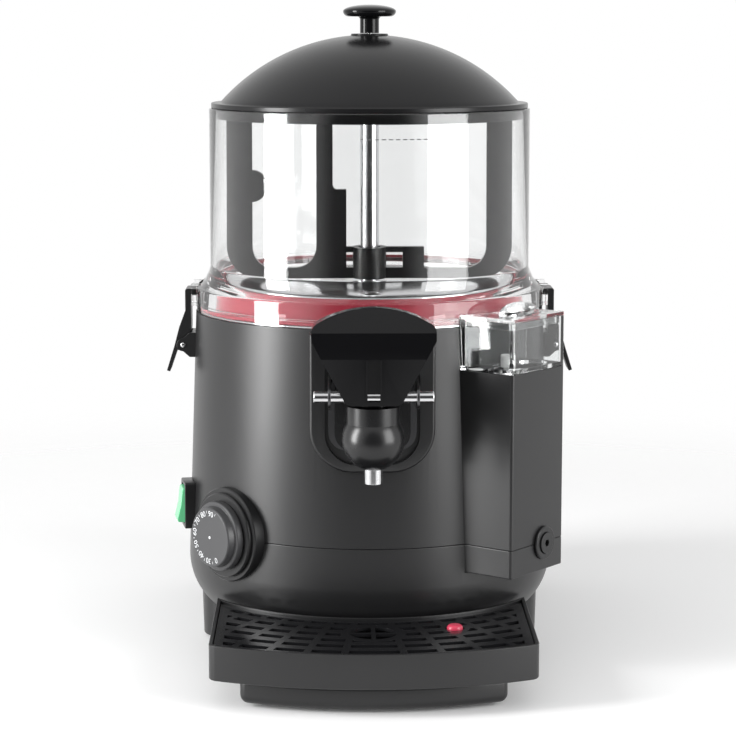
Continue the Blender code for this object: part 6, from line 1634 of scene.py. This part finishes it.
@dataclass
class Lever(Assembly):
    """The wide hollow handle that opens the tap."""

    top_z: float = 0.2660
    shoulder_z: float = 0.2545
    shoulder_half: float = 0.0412
    low_z: float = 0.2020
    low_half: float = 0.0200
    side_drop: float = 0.0090
    side_lean: float = math.radians(-25)
    foot_corner: float = 0.0050
    outer_edge: float = 0.0022
    least_edge: float = 0.0055
    shoulder_corner: float = 0.0060
    back: float = -0.1690
    crown: float = -0.1770
    panel_top: float = 0.2510
    panel_low: float = 0.2335
    panel: float = -0.1935
    toe: float = -0.1900
    wall: float = 0.0028
    over: float = 0.0040
    boss_radius: float = 0.0082
    boss_half: float = 0.0130
    pivot_y: float = -0.1860
    pivot_z: float = 0.2075
    pin_room: float = 0.0043
    tine_inner: float = 0.0034
    tine_outer: float = 0.0084
    tine: float = 0.0036
    tine_end: float = -0.1645
    slot_half: float = 0.0042
    slot_depth: float = 0.0012
    rib: float = 0.0011
    rib_height: float = 0.0008

    def front(self, margin: float, low: float) -> list[Point]:
        """Front view of the handle, drawn in by a margin."""
        half = self.shoulder_half - margin
        foot = self.low_half - margin
        rise = self.top_z - self.shoulder_z
        crown = (self.shoulder_half ** 2 + rise ** 2) / (2 * rise) - margin
        round_foot = self.foot_corner
        right = arc((foot - round_foot, low + round_foot), round_foot, -RIGHT, self.side_lean, 8)
        left = [(-x, z) for x, z in reversed(right)]
        drop = self.shoulder_z - self.side_drop
        head = bowed(half, self.top_z - margin, crown, self.shoulder_corner)
        return [*right, (half, drop), *head, (-half, drop), *left]

    def side(self, margin: float, back: float) -> list[Point]:
        """Side view of the handle, its front drawn in by a margin."""
        return [
            (back, self.low_z - self.over), (self.toe + margin, self.low_z - self.over),
            (self.toe + margin, self.low_z),
            (self.panel + margin, self.panel_low), (self.panel + margin, self.panel_top - margin / 2),
            (self.crown + margin, self.top_z - margin / 2), (self.crown + margin, self.top_z + self.over),
            (back, self.top_z + self.over),
        ]

    def shape(self) -> Solid:
        """The handle with its boss, tines, slot and ribs."""
        half = self.shoulder_half + self.over
        far = self.panel - self.over
        handle = Solid.upright(self.front(0.0, self.low_z), far, self.back)
        handle.keep(Solid.sideways(self.side(0.0, self.back), -half, half))
        handle.rounded(self.is_outer_edge, self.outer_edge, 5)
        hollow = Solid.upright(self.front(self.wall, self.low_z - self.over), far, self.back + self.over)
        hollow.keep(Solid.sideways(self.side(self.wall, self.back + self.over), -half, half))
        handle.cut(hollow)
        ribs_low = self.low_z + self.wall
        for across in (-1, 1):
            middle = across * (self.slot_half + self.rib / 2)
            line = [
                (self.toe + self.wall / 2, ribs_low), (self.toe - self.rib_height, ribs_low),
                (self.panel - self.rib_height, self.panel_low), (self.panel + self.wall / 2, self.panel_low),
            ]
            handle.add(Solid.sideways(line, middle - self.rib / 2, middle + self.rib / 2))
        slot = [
            (self.toe + self.slot_depth, ribs_low), (self.toe - self.over, ribs_low),
            (self.panel - self.over, self.panel_low - self.wall / 2),
            (self.panel + self.slot_depth, self.panel_low - self.wall / 2),
        ]
        handle.cut(Solid.sideways(slot, -self.slot_half, self.slot_half))
        boss = [
            *arc((self.pivot_y, self.pivot_z), self.boss_radius, 0.0, math.pi, 24),
            (self.toe + self.wall / 2, self.low_z), (self.pivot_y + self.boss_radius, self.low_z),
        ]
        inside = Solid.sideways(self.side(self.wall / 2, self.back), -half, half)
        handle.add(Solid.sideways(boss, -self.boss_half, self.boss_half).keep(inside))
        for low_x, high_x in ((-self.tine_outer, -self.tine_inner), (self.tine_inner, self.tine_outer)):
            handle.add(Solid.block(
                (low_x, self.pivot_y, self.pivot_z - self.tine), (high_x, self.tine_end, self.pivot_z),
            ))
        reach = self.shoulder_half
        return handle.cut(
            Solid.rod(
                self.pin_room, (-reach, self.pivot_y, self.pivot_z), (reach, self.pivot_y, self.pivot_z), 48,
            ),
        )

    def is_outer_edge(self, first: Vector, second: Vector) -> bool:
        """Whether an edge lies on the handle's show side, not on its open back."""
        level = TINY * 5
        on_back = abs(first.y - self.back) < level and abs(second.y - self.back) < level
        on_foot = abs(first.z - self.low_z) < level and abs(second.z - self.low_z) < level
        return not on_back and not on_foot and (first - second).length > self.least_edge

    def build(self) -> None:
        """Make and dress the handle."""
        self.show(self.shape(), "tap_handle_shell", GLOSS, "tap_handle", "tap_lever", edge=0.0006, steps=3)


@dataclass
class Controls(Assembly):
    """The thermostat's dial with its bezel, and the rocker switch."""

    drum: Drum
    angle: float = math.radians(-49)
    height: float = 0.0940
    face_reach: float = 0.1510
    face_radius: float = 0.0210
    skirt_radius: float = 0.0245
    skirt_reach: float = 0.1455
    bezel_radius: float = 0.0335
    bezel_step_radius: float = 0.0300
    bezel_step: float = 0.1370
    bezel_reach: float = 0.1400
    inner_reach: float = 0.1180
    bush_radius: float = 0.0051
    stem_radius: float = 0.0030
    edge: float = 0.0008
    clearance: float = 0.0003
    marks: tuple[str, ...] = ("0", "30", "40", "50", "60", "70", "80", "90")
    first_mark: float = math.radians(-205)
    mark_sweep: float = math.radians(210)
    number_share: float = 0.27
    number_reach: float = 0.80
    tick_reach: float = 0.86
    tick_share: float = 0.045
    tick_half_width: float = 0.00018
    print_height: float = 0.00006
    dot_share: float = 0.05
    dot_height: float = 0.0001

    def lay(self, solid: Solid) -> Solid:
        """Lay a turned piece on the dial's axis."""
        level = Matrix.Translation((0.0, 0.0, self.height)) @ Matrix.Rotation(RIGHT, 4, "Y")
        return solid.moved(facing(self.angle) @ level)

    def bezel(self) -> Solid:
        """The stepped ring behind the dial."""
        edge = self.edge
        ring = Solid.turned([
            (self.bush_radius, self.inner_reach), (self.bezel_radius, self.inner_reach),
            (self.bezel_radius, self.bezel_step - edge),
            (self.bezel_radius - edge, self.bezel_step), (self.bezel_step_radius, self.bezel_step),
            (self.bezel_step_radius, self.bezel_reach - edge),
            (self.bezel_step_radius - edge, self.bezel_reach), (self.bush_radius, self.bezel_reach),
        ], FINE_STEPS)
        return self.lay(ring).cut(self.drum.body(self.clearance, self.drum.bottom_z, self.drum.top_z))

    def knob(self) -> Solid:
        """The dial with its skirt and flat face."""
        edge = self.edge
        low = self.bezel_reach + self.clearance
        knob = Solid.turned([
            (0.0, self.inner_reach + self.clearance), (self.stem_radius, self.inner_reach + self.clearance),
            (self.stem_radius, low),
            (self.skirt_radius, low), (self.skirt_radius, self.skirt_reach - edge),
            (self.skirt_radius - edge, self.skirt_reach),
            (self.face_radius + edge, self.skirt_reach), (self.face_radius, self.face_reach - edge),
            (self.face_radius - edge, self.face_reach), (0.0, self.face_reach),
        ], FINE_STEPS)
        return self.lay(knob)

    def lettering(self, words: str, size: float, turn: float, radius: float) -> Solid:
        """A number printed on the dial's face.

        Args:
            words: the number.
            size: its height.
            turn: its angle round the face, from the top, clockwise.
            radius: its distance from the middle.

        Returns:
            The flat print, a hair above the face.
        """
        curve = bpy.data.curves.new("number", "FONT")
        curve.body = words
        curve.size = size
        curve.align_x = "CENTER"
        curve.align_y = "CENTER"
        curve.extrude = self.print_height
        curve.resolution_u = 3
        holder = bpy.data.objects.new("number", curve)
        bpy.context.scene.collection.objects.link(holder)
        shape = holder.evaluated_get(bpy.context.evaluated_depsgraph_get())
        data = bpy.data.meshes.new_from_object(shape)
        mesh = bmesh.new()
        mesh.from_mesh(data)
        bpy.data.meshes.remove(data)
        bpy.data.objects.remove(holder, do_unlink=True)
        bpy.data.curves.remove(curve)
        return self.on_face(Solid(mesh), turn, radius)

    def on_face(self, solid: Solid, turn: float, radius: float) -> Solid:
        """Set a flat shape on the dial's face, upright at its top and turned with its place."""
        stand = Matrix(((0, 0, 1, 0), (1, 0, 0, 0), (0, 1, 0, 0), (0, 0, 0, 1)))
        place = Matrix.Rotation(-turn, 4, "Z") @ Matrix.Translation((0.0, radius, 0.0))
        return solid.moved(
            facing(self.angle) @ Matrix.Translation((self.face_reach, 0.0, self.height)) @ stand @ place,
        )

    def print(self) -> Solid:
        """The numbers and ticks round the dial's face, and the dot in its middle."""
        pitch = self.mark_sweep / (len(self.marks) - 1)
        radius = self.face_radius
        wide, tall = self.tick_half_width, radius * self.tick_share
        shapes = []
        for index, words in enumerate(self.marks):
            turn = self.first_mark + index * pitch
            shapes.append(self.lettering(words, radius * self.number_share, turn, radius * self.number_reach))
            tick = Solid.block((-wide, -tall, 0.0), (wide, tall, self.print_height))
            shapes.append(self.on_face(tick, turn + pitch / 2, radius * self.tick_reach))
        rise = self.dot_height
        rim = radius * self.dot_share
        dot = Solid.turned([(0.0, -rise), (rim, -rise), (rim, rise), (0.0, rise)], 24)
        shapes.append(self.on_face(dot, 0.0, 0.0))
        return shapes[0].lay_in(*shapes[1:])

    def build(self) -> None:
        """Make and dress the dial and the switch."""
        self.show(self.bezel(), "dial_ring", SATIN, "machine", "dial_bezel", edge=0.0003)
        self.show(self.knob(), "dial_cap", DIAL_FACE, "dial", "dial_knob", edge=0.0003)
        self.show(self.print(), "dial_print_marks", PRINT, "dial", edge=0.0)
        self.refine("switch_bezel", "switch_frame", SATIN, "machine", 0.0006)
        self.refine("switch_rocker", "switch_key", GREEN, "rocker", 0.0006)


@dataclass
class Tray(Assembly):
    """The drip tray with its slotted grid and red float."""

    low_z: float = 0.0201
    top_z: float = 0.0441
    half_width: float = 0.1100
    reach: float = 0.2300
    bow: float = 0.0250
    wall: float = 0.0025
    housing_radius: float = 0.1316
    corner: float = 0.0080
    least_corner: float = 0.0015
    lower_edge: float = 0.0060
    tap_y: float = -0.1680
    clearance: float = 0.0003
    grid_gap: float = 0.0006
    grid_drop: float = 0.0016
    grid: float = 0.0022
    border: float = 0.0060
    slot: float = 0.0070
    slat: float = 0.0080
    rib: float = 0.0050
    rows: int = 6
    rib_pairs: int = 7
    first_rib: float = math.radians(5.1)
    rib_pitch: float = math.radians(6.6)
    ring: float = 0.0225
    ring_hole: float = 0.0160
    ring_bar: float = 0.0030
    posts: tuple[Point, ...] = ((-0.070, -0.195), (0.070, -0.195), (-0.070, -0.145), (0.070, -0.145))
    post_radius: float = 0.0040
    float_at: Point = (0.0560, -0.1560)
    float_radius: float = 0.0055
    float_rise: float = 0.0014
    float_gap: float = 0.0010
    float_land: float = 0.0038

    def outline(self, margin: float) -> list[Point]:
        """Plan of the tray, drawn in by a margin."""
        bow = (self.half_width ** 2 + self.bow ** 2) / (2 * self.bow) - margin
        half = self.half_width - margin
        front = bowed(half, self.reach - margin, bow, max(self.corner - margin, self.least_corner))
        rear = self.housing_radius + margin
        turn = math.asin(half / rear)
        return [(-x, -y) for x, y in front] + arc((0.0, 0.0), rear, -RIGHT + turn, -RIGHT - turn, 60)

    def pan(self) -> Solid:
        """The tray with its posts."""
        pan = Solid.slab(self.outline(0.0), self.low_z, self.top_z)
        pan.rounded_at(self.low_z, self.lower_edge, 6)
        floor = self.low_z + self.wall
        pan.cut(Solid.slab(self.outline(self.wall), floor, self.top_z + self.wall))
        grid_low = self.top_z - self.grid_drop - self.grid
        pan.add(*(
            Solid.pillar(
                self.post_radius, floor - self.clearance, grid_low - self.clearance, (x, y), steps=24,
            )
            for x, y in self.posts
        ))
        return pan

    def slots(self, low: float, high: float) -> Solid:
        """The arc-shaped slots between the ribs, as cutters."""
        first = self.reach - self.wall - self.grid_gap - self.border
        half = [self.first_rib + self.rib_pitch * count for count in range(self.rib_pairs)]
        ribs = [-turn for turn in reversed(half)] + half
        shapes = []
        for row in range(self.rows):
            outer = first - row * (self.slot + self.slat)
            inner = outer - self.slot
            rib = self.rib / outer
            for start, end in zip(ribs, ribs[1:]):
                start_turn = start + rib / 2 - RIGHT
                end_turn = end - rib / 2 - RIGHT
                line = arc((0.0, 0.0), outer, start_turn, end_turn, 6) + arc(
                    (0.0, 0.0), inner, end_turn, start_turn, 6,
                )
                shapes.append(Solid.slab(line, low, high))
        return shapes[0].lay_in(*shapes[1:])

    def grate(self) -> Solid:
        """The slotted grid with its ring and cross under the nozzle."""
        top = self.top_z - self.grid_drop
        low = top - self.grid
        below, above = low - self.wall, top + self.wall
        margin = self.wall + self.grid_gap
        grid = Solid.slab(self.outline(margin), low, top)
        slots = self.slots(below, above)
        slots.keep(Solid.slab(self.outline(margin + self.border), below - self.wall, above + self.wall))
        x, y = self.float_at
        keep = self.float_radius + self.float_gap
        slots.cut(
            Solid.pillar(self.ring, below - self.wall, above + self.wall, (0.0, self.tap_y), steps=64),
            Solid.pillar(keep + self.float_land, below - self.wall, above + self.wall, (x, y)),
        )
        hole = Solid.pillar(self.ring_hole, below, above, (0.0, self.tap_y), steps=64)
        bar = self.ring_bar / 2
        hole.cut(
            Solid.block(
                (-self.ring, self.tap_y - bar, below - self.wall),
                (self.ring, self.tap_y + bar, above + self.wall),
            ),
            Solid.block(
                (-bar, self.tap_y - self.ring, below - self.wall),
                (bar, self.tap_y + self.ring, above + self.wall),
            ),
        )
        return grid.cut(slots, hole, Solid.pillar(keep, below, above, (x, y)))

    def full_float(self) -> Solid:
        """The red float that rises when the tray is full."""
        floor = self.low_z + self.wall + self.clearance
        top = self.top_z + self.float_rise
        radius = self.float_radius
        half = radius / 2
        crown = [
            (half + half * across, top - half + half * up)
            for across, up in arc((0.0, 0.0), 1.0, 0.0, RIGHT, 8)
        ]
        x, y = self.float_at
        return Solid.turned(
            [(0.0, floor), (radius, floor), *crown, (0.0, top)], 48,
        ).moved(Matrix.Translation((x, y, 0.0)))

    def build(self) -> None:
        """Make and dress the tray."""
        self.show(self.pan(), "drip_pan", HOUSING, "tray", "drip_tray", edge=0.0005)
        self.show(self.grate(), "drip_grate", GRATE, "tray_grid", "drip_grid", edge=0.0009, steps=4)
        self.show(self.full_float(), "full_float", RED, "tray_indicator", "tray_float", edge=0.0004)


@dataclass
class Inside(Assembly):
    """The parts inside the housing, which keep the frame's shapes."""

    finishes: tuple[tuple[str, Finish], ...] = (
        ("water_bath", SHEET), ("heating_element", TURNED), ("motor_frame", SHEET), ("gearmotor", ENAMEL),
        ("drive_coupling", TURNED), ("outlet_tube", TURNED), ("thermostat", SATIN), ("valve_plug", WHITE),
        ("tap_spring", TURNED),
    )

    def build(self) -> None:
        """Give each inner part its finish."""
        for name, finish in self.finishes:
            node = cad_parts[name]
            node.data.materials.clear()
            node.data.materials.append(finish.material())
            LOG.info("%s keeps its shape", name)


@dataclass
class Studio:
    """A pale floor, soft light and the photograph's camera."""

    lens: float = 117.39
    camera_place: Place = (-0.0271, -1.7268, 0.457)
    camera_turn: Place = (math.radians(90 - 8.35), 0.0, math.radians(-0.85))
    floor_half: float = 3.0
    world_light: float = 0.62
    front: Place = (-0.016, -0.999, 0.02)
    room_edge: float = 0.72
    room_core: float = 0.92
    room_dark: float = 0.05
    sensor: float = 36.0
    near_clip: float = 0.01
    lamp_lift: float = 0.01
    floor_colour: Colour = (0.95, 0.95, 0.95)
    fade_start: float = 0.35
    fade_end: float = 1.1
    lamps: tuple[tuple[str, float, float, Point, float], ...] = (
        ("left_softbox", math.radians(-70), 1.5, (0.50, 1.2), 20.0),
        ("right_softbox", math.radians(56), 1.5, (0.85, 1.2), 7.0),
    )

    def softbox(self, name: str, azimuth: float, distance: float, size: Point, level: float) -> None:
        """Stand an upright rectangular lamp on the floor, facing the machine.

        Args:
            name: the lamp's name.
            azimuth: its angle from the front, to the right.
            distance: how far it is from the machine.
            size: its width and height.
            level: its brightness, where 1 is white.
        """
        light = bpy.data.lights.new(name, "AREA")
        light.shape = "RECTANGLE"
        light.size, light.size_y = size
        light.energy = level * math.pi * size[0] * size[1]
        lamp = bpy.data.objects.new(name, light)
        lamp.location = (
            distance * math.sin(azimuth), -distance * math.cos(azimuth), size[1] / 2 + self.lamp_lift,
        )
        lamp.rotation_euler = (RIGHT, 0.0, azimuth)
        bpy.context.scene.collection.objects.link(lamp)

    def sky(self) -> None:
        """White for what the camera, glass and gloss see, and a softer level for the light."""
        world = bpy.data.worlds.new("studio")
        bpy.context.scene.world = world
        world.use_nodes = True
        sky = Nodes(world.node_tree)
        ray = {name: sky.node("ShaderNodeLightPath", output=name) for name in (
            "Is Camera Ray", "Is Transmission Ray", "Is Glossy Ray",
        )}
        seen = sky.node(
            "ShaderNodeMath", {"operation": "MAXIMUM"},
            {0: ray["Is Camera Ray"], 1: ray["Is Transmission Ray"]},
        )
        glossy = ray["Is Glossy Ray"]
        way = sky.node("ShaderNodeTexCoord", output="Generated")
        facing_front = sky.node(
            "ShaderNodeVectorMath", {"operation": "DOT_PRODUCT"}, {0: way, 1: self.front}, "Value",
        )
        room = sky.node("ShaderNodeMapRange", {"interpolation_type": "SMOOTHSTEP"}, {
            "Value": facing_front, "From Min": self.room_edge, "From Max": self.room_core, "To Min": 1.0,
            "To Max": self.room_dark,
        })
        level = (seen * (1.0 - self.world_light) + self.world_light) * (1 - glossy) + glossy * room
        ground = world.node_tree.nodes["Background"]
        ground.inputs["Color"].default_value = (1.0, 1.0, 1.0, 1.0)
        sky.feed(ground.inputs["Strength"], level)

    def floor(self) -> None:
        """A pale floor that fades into the background."""
        mesh = bmesh.new()
        bmesh.ops.create_grid(mesh, x_segments=1, y_segments=1, size=self.floor_half)
        data = bpy.data.meshes.new("studio_floor")
        mesh.to_mesh(data)
        mesh.free()
        paint = Paint("studio_floor")
        place = paint.node("ShaderNodeTexCoord", output="Object")
        far = paint.node("ShaderNodeVectorMath", {"operation": "LENGTH"}, {0: place}, "Value")
        fade = paint.node("ShaderNodeMapRange", {"interpolation_type": "SMOOTHSTEP"}, {
            "Value": far, "From Min": self.fade_start, "From Max": self.fade_end, "To Min": 1.0,
            "To Max": 0.0,
        })
        paint.set(Base_Color=(*self.floor_colour, 1.0), Roughness=0.6, Specular_IOR_Level=0.2, Alpha=fade)
        data.materials.append(paint.material)
        floor = bpy.data.objects.new("studio_floor", data)
        bpy.context.scene.collection.objects.link(floor)

    def camera(self) -> None:
        """Stand the camera where the photograph was taken."""
        data = bpy.data.cameras.new("photo_camera")
        data.lens = self.lens
        data.sensor_width = self.sensor
        data.clip_start = self.near_clip
        camera = bpy.data.objects.new("photo_camera", data)
        camera.location = self.camera_place
        camera.rotation_euler = self.camera_turn
        bpy.context.scene.collection.objects.link(camera)
        bpy.context.scene.camera = camera

    def build(self) -> None:
        """Set up the light, the floor and the camera."""
        bpy.context.scene.view_settings.view_transform = "Standard"
        self.sky()
        self.floor()
        self.camera()
        for lamp in self.lamps:
            self.softbox(*lamp)
        LOG.info("studio is set")


def write_size() -> None:
    """Bring the view layer up to date."""
    bpy.context.view_layer.update()


def main() -> None:
    """Build every sub-assembly around the frame."""
    logging.basicConfig(level=logging.INFO, format="%(name)s: %(message)s", stream=sys.stdout)
    drum = Drum()
    assemblies = (
        Studio(), drum, Stand(drum), Filler(drum), Drain(drum), ClearBowl(), SideLatches(), Drive(),
        Stirrer(), Lid(),
        Tap(), Lever(), Controls(drum), Tray(), Inside(),
    )
    for assembly in assemblies:
        assembly.build()
    write_size()


if __name__ == "__main__":
    main()
